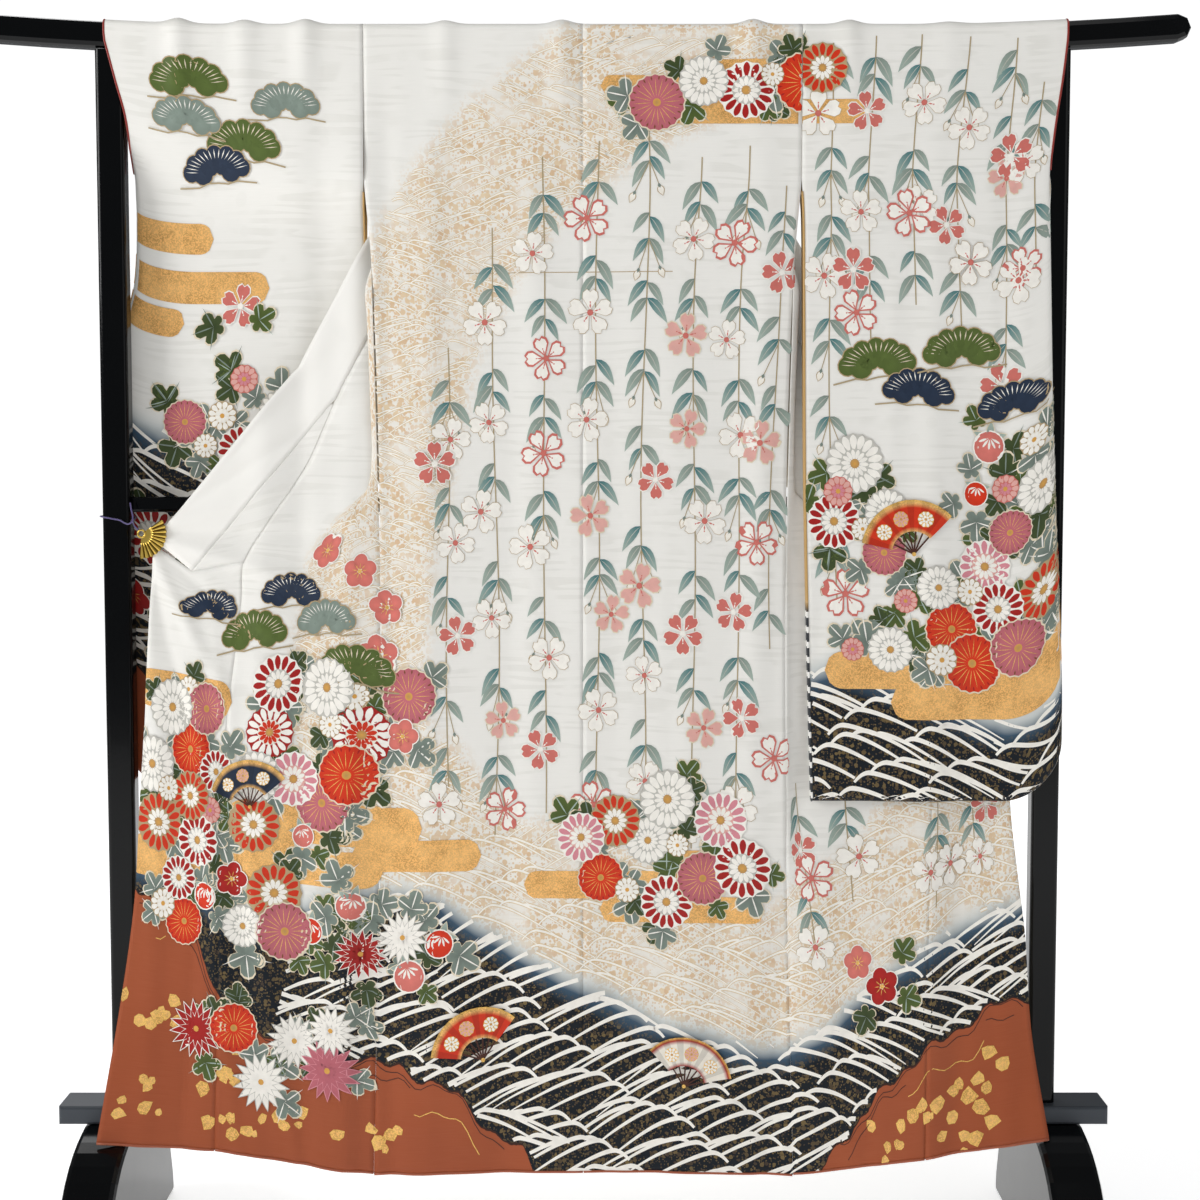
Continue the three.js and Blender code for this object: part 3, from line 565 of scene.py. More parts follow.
def tube_mesh(name, path, radius, around=8, twist=0.0, ridge=0.0):
    """A tube of round section along a path. Its sides are turned from an upright frame, its radius
    swells by ridge three times round, turned by twist for each millimetre, and its ends are
    closed by a point each."""
    way = unit(np.gradient(path, axis=0))
    side = unit(np.cross(way, np.where(np.abs(way[:, 2:]) > 0.9, (0.0, 1.0, 0.0), (0.0, 0.0, 1.0))))
    for n in range(1, len(side)):  # carries the first direction along, so that nothing twists
        side[n] = unit(side[n - 1] - way[n] * (side[n - 1] @ way[n]))
    up = np.cross(way, side)
    run = run_along(path)
    angle = np.arange(around) / around * 2 * np.pi
    swell = radius * (1 + ridge * np.cos(3 * (angle[None, :] - twist * run[:, None])))
    rings = path[:, None] + swell[..., None] * (
        side[:, None] * np.cos(angle)[None, :, None] + up[:, None] * np.sin(angle)[None, :, None])
    points = np.concatenate([rings.reshape(-1, 3), path[:1], path[-1:]])
    n, ids = len(path), np.arange(around)
    turned = (ids + 1) % around
    last = (n - 1) * around
    caps = np.concatenate([
        np.stack([np.full(around, n * around), turned, ids], 1),
        np.stack([np.full(around, n * around + 1), last + ids, last + turned], 1),
    ])
    faces = np.concatenate([halves(ring_faces(n, around)), caps])
    uv = np.concatenate([
        stack(angle / (2 * np.pi), run[:, None] * MM, 0.0)[..., :2].reshape(-1, 2), np.zeros((2, 2))])
    return new_mesh(name, points, faces, uv)


def finish(piece, replaced, slot, materials, thickness=None):
    """Gives a piece its materials and its wall, hangs it under the root's empty, and hides the parts that it
    replaces.
    """
    for material in materials:
        piece.data.materials.append(material)
    if thickness:
        wall = piece.modifiers.new("wall", "SOLIDIFY")
        wall.thickness, wall.offset = thickness * MM, 0
        wall.material_offset = len(materials) - 1
    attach(piece, "root")
    if replaced:
        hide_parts(*replaced)
    return piece


# ---- zones of the dyed ground
SEA_TOP = columns("x level", """
    -715 560, -600 530, -480 500, -380 545, -262 556, -160 505, -60 452, 60 392, 180 345, 300 330,
    400 372, 500 430, 600 470, 715 492""")
LAND_TOP = columns("x level", """
    -715 500, -640 488, -580 430, -530 345, -470 318, -380 302, -290 290, -210 262, -150 205, -90 160,
    -40 60, 300 60, 360 150, 430 206, 500 262, 580 300, 650 330, 715 336""")
SLEEVE_SEA_TOP = columns("x level", "312 872, 380 884, 470 846, 560 806, 690 796")
FAR_SEA_TOP = columns("x level", "312 850, 420 826, 520 856, 610 884, 690 870")
LEFT_SEA_TOP = columns("x level", "312 1090, 400 1110, 500 1160, 580 1205, 690 1225")
# middle of the band of gold spray over the back: x and level
SPRAY_LINE = numbers("""
    190 1765, 40 1700, -90 1600, -190 1480, -262 1340, -300 1180, -330 1020, -350 860, -330 720""")
SPRAY_WIDTH = 112
CALM_SEA = -530  # no waves left of this, at level 0
SPRAY_RISE = 245  # the lower field of spray reaches this far above the sea


def sea_depth(x, level):
    """How far a place on the body lies below the top of the sea."""
    return at(SEA_TOP, "level", x, "x") - level


def land_depth(x, level):
    """How far a place on the body lies below the top of the land."""
    return at(LAND_TOP, "level", x, "x") - level + 7 * np.sin(x / 17) + 5 * np.sin(x / 7.3 + 1)


def spray(x, level):
    """How thick the gold spray is: full near its middle line and over the lower field."""
    far = np.full(np.shape(x), 1e9)
    for (ax, az), (bx, bz) in zip(SPRAY_LINE[:-1], SPRAY_LINE[1:]):
        step = np.array([bx - ax, bz - az])
        t = np.clip(((x - ax) * step[0] + (level - az) * step[1]) / (step @ step), 0, 1)
        far = np.minimum(far, np.hypot(x - ax - t * step[0], level - az - t * step[1]))
    band = 1 - smoothstep(far, SPRAY_WIDTH * 0.7, SPRAY_WIDTH * 1.1)
    above = -sea_depth(x, level)
    reach = SPRAY_RISE + 26 * np.sin(x / 61) + 18 * np.sin(x / 27 + 2)
    lower = (1 - smoothstep(above, reach * 0.75, reach)) * smoothstep(x, -430, -330)
    return np.maximum(band, lower)


def zones(sea, land, spread):
    """The zones of a ground as named numbers for its points, with depths in tenths of a metre."""
    return {"sea": sea.ravel() / 100, "land": land.ravel() / 100, "spray": spread.ravel()}


def body_zones(x, level):
    """The zones of the body's ground."""
    return zones(sea_depth(x, level), land_depth(x, level), spray(x, level) * (level < 1790))


def sleeve_zones(top, land, x, level):
    """The zones of a sleeve's ground: a sea below the table's line, and land at the bottom."""
    return zones(at(top, "level", x, "x") - level, land - level + 9 * np.sin(x / 21), 0.0 * x)


SLEEVE_GROUND = {  # the sea's line and the land's top on each layer
    "near_left": (LEFT_SEA_TOP, 842), "far_left": (FAR_SEA_TOP, 600),
    "near_right": (SLEEVE_SEA_TOP, 600), "far_right": (FAR_SEA_TOP, 600),
}


# ---- motifs
# A motif is four arrays: points across and up in millimetres, triangles, a dye for each point
# (its fourth number is how much of it is gold leaf), and a layer for each point.
LAYER = 0.07  # millimetres between one layer of dye and the next
PRINT_LIFT = CLOTH / 2 + 0.2  # lowest dye above the middle of the cloth
RING = 6.5  # widest step of a shape of dye, so that it follows the folds


def linear(code, gold=0.0):
    """A dye from a colour code of six digits, by the usual curve from screen to light."""
    share = np.array([int(code[n:n + 2], 16) for n in (0, 2, 4)]) / 255
    light = np.where(share <= 0.04045, share / 12.92, ((share + 0.055) / 1.055) ** 2.4)
    return np.append(light, gold)


DYE = {name: linear(code) for name, code in dict(
    white="f7f3ea", cream="efe8da", vermilion="cf3417", crimson="a51f1b", coral="cf7268",
    blush="e2aca2", mauve="b9656f", rose="d68a94", teal="2f6f74", mist="a9b9ae",
    sage="7d8a80", moss="53632f", fir="414f2b", ash="c4c1b8", slate="66717b", navy="232f42",
    stem="b09e7c", hair="b79f78", brown="7a4b2a", heart="bb9058", ochre="d9a24e",
    rust="8d4128", bark="4b2a20", pale="e6d8bd", tan="d8bd8c",
).items()}
DYE.update(gold=linear("e8b672", 1.0), leaf=linear("e6bb68", 1.0))
DYE.update({name + ending: dye * (share, share, share, 1.0) for name, dye in DYE.items()
            for ending, share in ((" light", 1.2), (" dark", 0.7))})


def patch(points, triangles, dye, layer=0.0):
    """One flat shape, of one dye by its name or of a dye for each point."""
    points = np.asarray(points, float).reshape(-1, 2)
    dyes = np.array(np.broadcast_to(DYE[dye] if isinstance(dye, str) else dye, (len(points), 4)))
    return points, np.asarray(triangles, int).reshape(-1, 3), dyes, np.full(len(points), layer)


def joined(parts):
    """Several shapes as one."""
    counts = np.cumsum([0] + [len(part[0]) for part in parts[:-1]])
    triangles = np.concatenate([part[1] + start for part, start in zip(parts, counts)])
    points, dyes, layers = (np.concatenate([part[n] for part in parts]) for n in (0, 2, 3))
    return points, triangles, dyes, layers


def placed(motif, x=0.0, level=0.0, size=1.0, turn=0.0, layer=0.0):
    """A motif made larger, turned anticlockwise in degrees, and moved."""
    points, triangles, dyes, layers = motif
    cos, sin = np.cos(np.radians(turn)), np.sin(np.radians(turn))
    moved = points @ np.array([[cos, sin], [-sin, cos]]) * size + (x, level)
    return moved, triangles, dyes, layers + layer


def strips(rows, across):
    """Triangles of a grid of rows times across points."""
    return halves(grid_faces(rows, across))


def rounded(radius_at, rim, middle=None, sides=24, layer=0.0):
    """A closed shape about a middle point, in rings so that it can follow the cloth: its radius at
    each angle is given by a function, and its dye goes from the middle to the rim."""
    angle = np.arange(sides) / sides * 2 * np.pi
    radius = radius_at(angle)
    count = int(np.ceil(radius.max() / RING))
    share = np.arange(count, 0, -1)[:, None] / count
    points = np.stack([share * radius * np.sin(angle), share * radius * np.cos(angle)], -1)
    last = (count - 1) * sides + np.arange(sides)
    fan = np.stack([np.full(sides, count * sides), np.roll(last, -1), last], 1)
    heart = DYE[middle or rim]
    dyes = np.vstack([mix(heart, DYE[rim], np.repeat(share, sides)[:, None]), heart])
    triangles = np.concatenate([halves(ring_faces(count, sides)[:, ::-1][:, [3, 0, 1, 2]]), fan])
    return patch(np.vstack([points.reshape(-1, 2), (0, 0)]), triangles, dyes, layer)


def disc(radius, rim, middle=None, sides=12, layer=0.0):
    """A round spot."""
    return rounded(lambda angle: np.full(len(angle), radius), rim, middle, sides, layer)


def blade(start, length, width, root, layer=0.0, rows=5, full=0.8, tip=None, bend=0):
    """A leaf or petal that grows upwards: its middle line bends sideways with the square of the way
    along, its width is a sine of the way along to the power full, and its dye runs from root to
    tip. A full above 1 gives a spoon that is widest and round near its tip."""
    t = np.linspace(0, 1, rows + 1)
    half = width / 2 * np.sin(np.pi * t**full)
    if full > 1:
        t = np.sin(t * np.pi / 2)
        half = width / 2 * np.sin(np.pi * np.clip(t, 0, 0.999)**full) ** 0.6
    x = bend * length * t**2 + half * np.array([[-1], [0], [1]])
    y = np.broadcast_to(start + length * t, x.shape)
    dyes = mix(DYE[root], DYE[tip or root], np.tile(t, 3)[:, None])
    points = np.stack([x, y], -1).reshape(-1, 2)
    return patch(points, strips(3, rows + 1), dyes, layer)


def ribbon(path, width, dye, layer=0.0):
    """A line of the given width, or widths, along a path."""
    path = np.asarray(path, float)
    way = unit(np.gradient(path, axis=0))
    out = np.stack([-way[:, 1], way[:, 0]], 1) * np.reshape(width, (-1, 1)) / 2
    return patch(np.concatenate([path - out, path + out]), strips(2, len(path)), dye, layer)


def wheel(count, part, radius=0.0):
    """A shape repeated evenly round a middle point, each copy moved out by the radius."""
    shape = (part[0] + (0, radius), *part[1:])
    return joined([placed(shape, turn=360 * n / count) for n in range(count)])


def chrysanthemum(radius, petal, outline, inner, inner_line, heart="heart", petals=16, close=0.76):
    """A round bloom of two rings of spoon petals, each on a scalloped ground that shows as their
    outlines, and a heart. close is how much of its share of the ring a petal fills."""
    def scallop(share, count):
        return lambda angle: radius * share * (0.94 + 0.06 * np.abs(np.cos(count * angle / 2)))

    few = petals - 4
    round_rim = 2 * np.pi * radius
    outer = blade(radius * 0.38, radius * 0.57, round_rim * 0.76 / petals * close, petal, 1.0, 6, 1.6)
    small = blade(radius * 0.1, radius * 0.37, round_rim * 0.38 / few * 0.82, inner, 3.0, 4, 1.5)
    return joined([
        rounded(scallop(1.0, petals), outline, sides=petals * 2), wheel(petals, outer),
        rounded(scallop(0.5, few), inner_line, sides=few * 2, layer=2.0), wheel(few, small),
        disc(radius * 0.16, heart, "ochre", 10, 4.0),
    ])


def pompon(radius, flesh, ray, rim):
    """A full round bloom: many close petals drawn by fine rays, with notches round its rim."""
    def notched(share):
        return lambda angle: radius * (share + 0.05 * np.abs(np.cos(10 * angle)))

    return joined([
        rounded(notched(0.95), "pale", sides=40),
        rounded(notched(0.9), flesh, flesh + " light", 40, 1.0),
        wheel(20, blade(radius * 0.2, radius * 0.62, radius * 0.022, ray, 2.0, 4)),
        wheel(20, placed(blade(radius * 0.74, radius * 0.17, radius * 0.06, rim, 2.0, 2), turn=9)),
        disc(radius * 0.14, "ochre", "heart", 10, 3.0),
    ])


def pointed_bloom(radius, petal, outline):
    """A bloom of narrow pointed petals: a long ring with outlines, a short ring, and a heart."""
    parts = [disc(radius * 0.1, "ochre", sides=8, layer=4.0)]
    for share, turn, layer in ((1.0, 0, 0.0), (0.66, 11, 2.0)):
        line = blade(0, radius * share, radius * 0.31 * share, outline, layer, 7)
        flesh = blade(radius * 0.04, radius * 0.9 * share, radius * 0.24 * share, petal, layer + 1, 7)
        parts += [placed(wheel(16, line), turn=turn), placed(wheel(16, flesh), turn=turn)]
    return joined(parts)


def notched_petal(length, width, dye, layer):
    """One cherry petal from the middle outwards, with a notch in its tip."""
    side = [(0.02, 0.1), (0.26, 0.36), (0.5, 0.62), (0.46, 0.86), (0.2, 1.0), (0.0, 0.88)]
    outline = np.array(side + [(-a, b) for a, b in side[-2::-1]]) * (width, length)
    middle = np.array([[0, length * 0.55]])
    count = len(outline)
    ids = np.arange(count)
    triangles = np.stack([np.full(count, count), (ids + 1) % count, ids], 1)
    return patch(np.vstack([outline, middle]), triangles, dye, layer)


def blossom(radius, line, fill, heart, border):
    """A cherry blossom: five notched petals with a border, stamens and a heart."""
    def petals(share, dye, layer):
        wide = radius * (0.72 - border * 1.1) if share < 1 else radius * 0.72
        start = radius * (1 - share) * 0.55
        return wheel(5, notched_petal(radius * share, wide, dye, layer), start)

    stamen = joined([
        blade(radius * 0.16, radius * 0.26, radius * 0.07, heart, 2.0, 2),
        placed(disc(radius * 0.035, heart, sides=5, layer=2.0), 0, radius * 0.44),
    ])
    return joined([
        petals(1.0, line, 0.0), petals(1 - border * 1.25, fill, 1.0),
        wheel(5, stamen), disc(radius * 0.14, heart, sides=8, layer=3.0),
    ])


def five_petals(radius, flesh, edge, heart):
    """A plum or camellia: five round petals that overlap, with fine stamens."""
    petal = joined([disc(radius * 0.47, edge, sides=14),
                    disc(radius * 0.41, flesh, flesh + " light", 14, 1.0)])
    return joined([
        wheel(5, petal, radius * 0.52),
        wheel(9, blade(radius * 0.1, radius * 0.34, radius * 0.05, heart, 2.0, 2, tip="leaf")),
        disc(radius * 0.12, "leaf", sides=8, layer=3.0),
    ])


def lobed_leaf(length, flesh, edge, vein):
    """A chrysanthemum leaf: five lobes about its middle, with a pale border and fine veins."""
    def lobes(share):
        return lambda a: length * share * (0.56 + 0.44 * np.abs(np.cos(2.5 * a)) ** 0.6) * (
            0.78 + 0.22 * np.cos(a))

    rib = blade(0, length * 0.62, length * 0.035, vein, 2.0, 4)
    veins = [placed(rib, turn=turn) for turn in (-72, 0, 72)]
    return joined([rounded(lobes(0.56), edge, sides=30),
                   rounded(lobes(0.51), flesh, flesh + " dark", 30, 1.0), *veins])


def cherry_leaf(length, root, bend):
    """One drooping leaf of a strand, with a fine middle line."""
    return joined([
        blade(0, length, length * 0.33, root, 0.0, 6, tip="mist", bend=bend),
        blade(0, length * 0.9, length * 0.025, "ash", 1.0, 4, bend=bend),
    ])


def bud(stalk):
    """A closed bud on a fine stalk that hangs down from the middle point."""
    return joined([
        ribbon(np.stack([np.zeros(8), -np.linspace(0, stalk, 8)], 1), 1.2, "stem"),
        *(placed(blade(*sizes, tip=tip), 0, -stalk, 1, 180) for sizes, tip in (
            ((0, 17, 11, "hair", 0.0, 4), None), ((1, 15, 8.6, "white", 1.0, 4), "cream"),
            ((-3, 8, 5, "sage", 2.0, 2), None))),
    ])


def gold_bar(length, width):
    """A bar of mist with half-round ends, about its middle."""
    x = spaced(-length / 2, length / 2, 7)
    end = np.clip((length / 2 - np.abs(x)) / (width / 2), 0, 1)
    half = width / 2 * np.sqrt(1 - (1 - end) ** 2)
    y = spaced(-1, 1, 2 * RING / width)[:, None] * half
    points = np.stack([np.broadcast_to(x, y.shape), y], -1)[:, ::-1].reshape(-1, 2)
    return patch(points, strips(len(y), len(x)), "gold")


def pine_cloud(width, flesh, fringe):
    """A pine bough as a low dome: discs along an arch with a second, smaller row below it, fine
    ribs that fan out over them, and a twig under it all."""
    parts = []
    for share, size, count, layer in ((0.40, 0.135, 7, 0.0), (0.22, 0.17, 4, 0.3)):
        for angle in np.radians(np.linspace(-82, 82, count)):
            x, y = width * share * np.sin(angle), width * share * 0.62 * np.cos(angle)
            parts += [placed(disc(width * size, "hair", None, 14, layer), x, y),
                      placed(disc(width * (size - 0.014), flesh, flesh + " light", 14, layer + 1), x, y)]
    for angle in np.linspace(-80, 80, 17):
        points, *rest = placed(blade(width * 0.29, width * 0.2, width * 0.018, fringe, 2.5, 2), turn=angle)
        parts.append((points * (1, 0.66), *rest))
    x = np.linspace(-0.6, 0.6, 9)
    twig = np.stack([x * width, (-0.13 - 0.07 * np.abs(x) + 0.02 * np.sin(x * 14)) * width], 1)
    parts.append(ribbon(twig, width * 0.02, "stem", 3.0))
    return joined(parts)


def citrus(radius, flesh):
    """A round fruit with five white marks that fan down from its top, in three leaves."""
    mark = blade(radius * 0.1, radius * 0.7, radius * 0.17, "white", 3.0, 3, 1.4)
    marks = [placed(mark, 0, radius * 0.62, 1, turn) for turn in (116, 148, 180, 212, 244)]
    leaf = joined([blade(0, radius * 1.25, radius * 0.62, "pale"),
                   blade(radius * 0.05, radius * 1.12, radius * 0.5, "sage", 1.0, tip="mist")])
    leaves = [placed(leaf, 0, radius * 0.5, 1, turn) for turn in (-72, 0, 72)]
    return joined([*leaves, disc(radius * 1.1, "white", sides=18, layer=1.5),
                   disc(radius, flesh, flesh + " light", 18, 2.0), *marks])


def folding_fan(radius, ground, band, folds_in=14, spread=62):
    """An open fan: a folded leaf from 0.42 of its radius outwards, in light and dark pleats with a
    gold rim, and its ribs down to the pivot."""
    angle = np.radians(np.linspace(-spread, spread, folds_in + 1))
    shares = (0.42, 0.5, 0.58, 0.66, 0.74, 0.86, 0.94, 1.0)
    dyes = (band, ground, ground, ground, ground, ground, band, "leaf")
    parts = []
    for n in range(folds_in):
        shade = (1, 1, 1, 1) if n % 2 else (0.78, 0.78, 0.78, 1)
        points = [(radius * s * np.sin(a), radius * s * np.cos(a)) for s in shares for a in angle[n:n + 2]]
        colours = np.repeat([DYE[dye] * shade for dye in dyes], 2, axis=0)
        parts.append(patch(points, strips(8, 2)[:, ::-1], colours, 1.0))
        if n % 2:
            rib = np.radians(-spread + (n + 0.5) * 2 * spread / folds_in)
            reach = np.linspace(0, radius * 0.43, 6)
            parts.append(ribbon(np.stack([reach * np.sin(rib), reach * np.cos(rib)], 1),
                                radius * 0.03, "bark"))
    parts.append(disc(radius * 0.04, "leaf", layer=2.0))
    for turn, petal in ((-36, "white"), (4, "blush"), (38, "white")):
        spot = chrysanthemum(radius * 0.15, petal, "leaf", petal, "leaf", petals=10)
        parts.append(placed(spot, -radius * 0.68 * np.sin(np.radians(turn)),
                            radius * 0.68 * np.cos(np.radians(turn)), layer=3.0))
    return joined(parts)


def flake(rng, size):
    """A torn scrap of gold leaf: seven sides of uneven radius."""
    radius = size * rng.uniform(0.55, 1.0, 7)
    return rounded(lambda angle: radius, "leaf", "gold", 7)


def waves(keep, box, size, seed, widths, dyes):
    """Bundles of nested wave lines in rows, each row in front of the one above. A bundle's crests
    follow a low arch. From its crest each line falls a short way to one side by a parabola and
    far to the other by the power 1.4 of the way out. It shows where keep allows it, down to the
    next line of its bundle and to the bundles in front. widths and dyes give the strokes of a
    line, the widest first."""
    rng = np.random.default_rng(seed)
    (x0, x1), (z0, z1) = box
    lines, gap, row, steps = 5, 25 * size, 50 * size, 25
    pitch = lines * gap
    rows, along = int((z1 - z0) / row) + 3, int((x1 - x0) / pitch) + 3
    odd = 0.5 * (np.arange(rows)[:, None] % 2)
    foot_x = x0 - pitch + (np.arange(along)[None, :] + odd) * pitch
    foot_z = np.repeat(z0 - row + np.arange(rows)[:, None] * row, along, 1)
    foot_x = (foot_x + rng.uniform(-0.16, 0.16, foot_x.shape) * pitch).reshape(-1, 1, 1)
    foot_z = (foot_z + rng.uniform(-0.2, 0.2, foot_z.shape) * row).reshape(-1, 1, 1)
    way = np.where(np.sin(foot_x / (150 * size) + foot_z / (90 * size) + seed) > -0.2, 1, -1)
    long = rng.uniform(4.2, 5.6, foot_x.shape) * gap
    fall = rng.uniform(2.2, 2.9, foot_x.shape) * gap
    number = np.arange(lines)[None, :]
    crest_x = (number - (lines - 1) / 2) * gap
    crest_z = gap * (1.35 * np.sin(np.pi * (number + 1.2) / (lines + 0.6)) - 0.25 * number)
    u = np.concatenate([np.linspace(0.9, 0, 7)[:-1], -np.linspace(0, 1, steps - 6)])

    def height(local, n):
        """How high each line of bundle n is at a local place across."""
        far = local[..., None] - crest_x
        short = crest_z - gap * 0.62 * (np.maximum(far, 0) / (gap * 0.95)) ** 2
        return np.where(far > 0, short, crest_z - fall[n] * (np.maximum(-far, 0) / long[n]) ** 1.4)

    x = foot_x + way * (np.where(u > 0, u * gap, u * long) + crest_x[..., None])
    drop = np.where(u > 0, gap * 0.62 * (u / 0.95) ** 2, fall * np.abs(np.minimum(u, 0)) ** 1.4)
    z = foot_z + (crest_z[..., None] - drop)
    shown = keep(x, z)
    bundle, order, _ = np.indices(x.shape)
    for n in range(len(foot_x)):  # one bundle at a time hides the lines behind its own
        local = (x - foot_x[n]) * way[n]
        near = (np.abs(local) < long[n] + 3 * gap) & (np.abs(z - foot_z[n]) < fall[n] + 3 * gap)
        place, rise = local[near], (z - foot_z[n])[near]
        heights = height(place, n)
        inside = (place[:, None] - crest_x > -long[n]) & (place[:, None] - crest_x < gap * 0.95)
        top = np.max(np.where(inside, heights, -1e9), 1)
        low = np.min(np.where(inside, heights, 1e9), 1)
        behind = foot_z[bundle[near], 0, 0] > foot_z[n, 0, 0] + 1
        hidden = behind & (rise < top - gap * 0.12) & (rise > low - gap * 0.5)
        after = np.arange(lines) == order[near][:, None] + 1
        hidden |= (bundle[near] == n) & np.any(after & inside & (rise[:, None] < heights - gap * 0.04), 1)
        shown[near] &= ~hidden
    taper = np.where(u > 0, 1 - 0.5 * u, 1 - 0.8 * np.abs(np.minimum(u, 0)) ** 1.2)
    middle = np.stack([x, z], -1)
    step = unit(np.gradient(middle, axis=2))
    out = np.stack([-step[..., 1], step[..., 0]], -1)
    parts = []
    for layer, (width, dye) in enumerate(zip(widths, dyes)):
        half = (width / 2 * taper * np.ones_like(x))[..., None] * out
        points = np.stack([middle - half, middle + half], -2)
        ids = np.arange(points.size // 2).reshape(points.shape[:-1])
        quads = np.stack([ids[..., :-1, 0], ids[..., 1:, 0], ids[..., 1:, 1], ids[..., :-1, 1]], -1)
        quads[way[:, 0, 0] > 0] = quads[way[:, 0, 0] > 0][..., ::-1]
        quads = quads[shown[..., :-1] & shown[..., 1:]]
        used, same = np.unique(halves(quads), return_inverse=True)
        parts.append(patch(points.reshape(-1, 2)[used], same.reshape(-1, 3), dye, layer * 1.0))
    return joined(parts)


def small_bloom(radius, *dyes):
    """A small chrysanthemum of fewer petals."""
    return chrysanthemum(radius, *dyes, "ochre", 12, 0.9)


def cherry(radius, line, fill, heart, border):
    """A cherry blossom from a row of a table."""
    return blossom(radius, line, fill, heart, float(border))


MAKERS = {"chrysanthemum": chrysanthemum, "small": small_bloom, "star": pointed_bloom,
          "pompon": pompon, "plum": five_petals, "leaf": lobed_leaf, "cherry": cherry,
          "citrus": citrus, "pine": pine_cloud, "fan": folding_fan}
MOTIFS = """
    red chrysanthemum 1 crimson white white ash, scarlet chrysanthemum 1 vermilion hair white hair,
    starry chrysanthemum 1.04 white crimson vermilion cream, pink chrysanthemum 1 rose white white blush,
    daisy small 0.52 white hair white cream, rosy small 0.5 blush coral rose coral,
    white_star star 1.05 white ash, rose_star star 1.08 mauve rose, red_star star 1.1 crimson white,
    mauve pompon 1 mauve leaf brown, orange pompon 1 vermilion leaf crimson,
    plum plum 0.72 coral white leaf, camellia plum 0.8 crimson white ochre,
    green leaf 1.5 fir pale sage, moss leaf 1.4 moss pale mist, grey leaf 1.6 sage pale white,
    faint cherry 1 hair white coral 0.035, coral cherry 1 white coral white 0.1,
    ring cherry 1.06 coral white coral 0.17, blush cherry 1 pale blush coral 0.09,
    citrus citrus 0.5 vermilion, pink_citrus citrus 0.52 coral,
    pine pine 112 moss pale, blue_pine pine 104 navy white, sage_pine pine 100 sage white,
    fan_red fan 78 vermilion gold, fan_cream fan 72 cream crimson, fan_navy fan 70 navy gold"""


def table_rows(text):
    """The words of each row of a table, less the rows with nothing in them."""
    return [row.split() for row in text.split(",") if row.strip()]


def motif_library(cherry_radius, bloom):
    """Every motif by name, with the radius that it keeps clear, at the sizes of the print."""
    made = {}
    for name, make, share, *dyes in table_rows(MOTIFS):
        size = float(share) * {"cherry": cherry_radius, "pine": 1, "fan": 1}.get(make, bloom)
        made[name] = MAKERS[make](size, *dyes)
    made["white"] = chrysanthemum(bloom, "white", "ash", "white", "ash", "heart", 18, 0.93)
    return {name: (motif, np.abs(motif[0]).max()) for name, motif in made.items()}


def strand(motifs, rng, x, top, bottom):
    """One weeping strand: a swaying stem with groups of two pairs of leaves, buds on stalks below
    some of them, and a blossom between groups now and then."""
    level = spaced(top, bottom, 20)
    sway, turn = rng.uniform(2, 5), rng.uniform(0, 6)

    def on(here):
        return x + sway * np.sin(here / 120 + turn)

    parts = [ribbon(np.stack([on(level), level], 1), 1.9, "stem")]
    here = top - rng.uniform(10, 60)
    while here > bottom + 60:
        teal_first = rng.random() < 0.5
        for pair, drop in enumerate((0, rng.uniform(24, 34))):
            for way in (-1, 1)[:2 if pair or rng.random() < 0.7 else 1]:
                teal = (pair + (way > 0)) % 2 == teal_first
                leaf = cherry_leaf(rng.uniform(36, 48), "teal" if teal else "sage", 0.3 * way)
                parts.append(placed(leaf, on(here), here - drop - rng.uniform(0, 9), 1,
                                    180 + way * rng.uniform(46, 60), 1.0))
        here -= drop
        if rng.random() < 0.75:
            for way in (-1, 1)[:rng.integers(1, 3)]:
                parts.append(placed(bud(rng.uniform(34, 52)), on(here), here - 8, 1,
                                    way * rng.uniform(14, 26), 2.0))
        if rng.random() < 0.8:
            kind = rng.choice(["faint", "faint", "faint", "coral", "ring", "blush"])
            aside = rng.choice([-1, 1]) * rng.uniform(0, 22)
            parts.append(placed(motifs[kind][0], on(here) + aside, here - rng.uniform(52, 62),
                                rng.uniform(0.86, 1.04), rng.uniform(0, 72), 6.0))
            here -= 44
        here -= rng.uniform(58, 82)
    return placed(joined(parts), layer=2.0)


def bouquet(motifs, rng, x, level, wide, high, leaves, blooms, layer=9.0):
    """Blooms that keep most of their radius clear of each other over an ellipse of the half sizes
    wide and high, with leaves under and round them. Blooms that overlap lie on floors of their own,
    the lowest that is free."""
    spots, parts, floors = [], [], []
    for kind in blooms:
        motif, radius = motifs[kind]
        for _ in range(60):
            angle, far = rng.uniform(0, 2 * np.pi), rng.uniform(0, 1) ** 0.5
            sx, sz = x + wide * far * np.cos(angle), level + high * far * np.sin(angle)
            if all(np.hypot(sx - a, sz - b) > 0.74 * (radius + c) for a, b, c in spots):
                taken = {floor for (a, b, c), floor in zip(spots, floors)
                         if np.hypot(sx - a, sz - b) < 1.1 * (radius + c)}
                floors.append(min(set(range(9)) - taken))
                spots.append((sx, sz, radius))
                parts.append(placed(motif, sx, sz, rng.uniform(0.84, 1.2),
                                    rng.uniform(-24, 24), layer + 9 + 4 * floors[-1]))
                break
    for n in range(leaves * len(spots)):
        sx, sz, radius = spots[n % len(spots)]
        angle = rng.uniform(0, 360)
        far = radius * rng.uniform(0.95, 1.3)
        kind = ("green", "grey", "moss", "grey")[n % 4]
        parts.append(placed(motifs[kind][0], sx - far * np.sin(np.radians(angle)),
                            sz + far * np.cos(np.radians(angle)), rng.uniform(0.75, 1.12), angle,
                            layer + 3.0 * (n % 3)))
    return joined(parts)


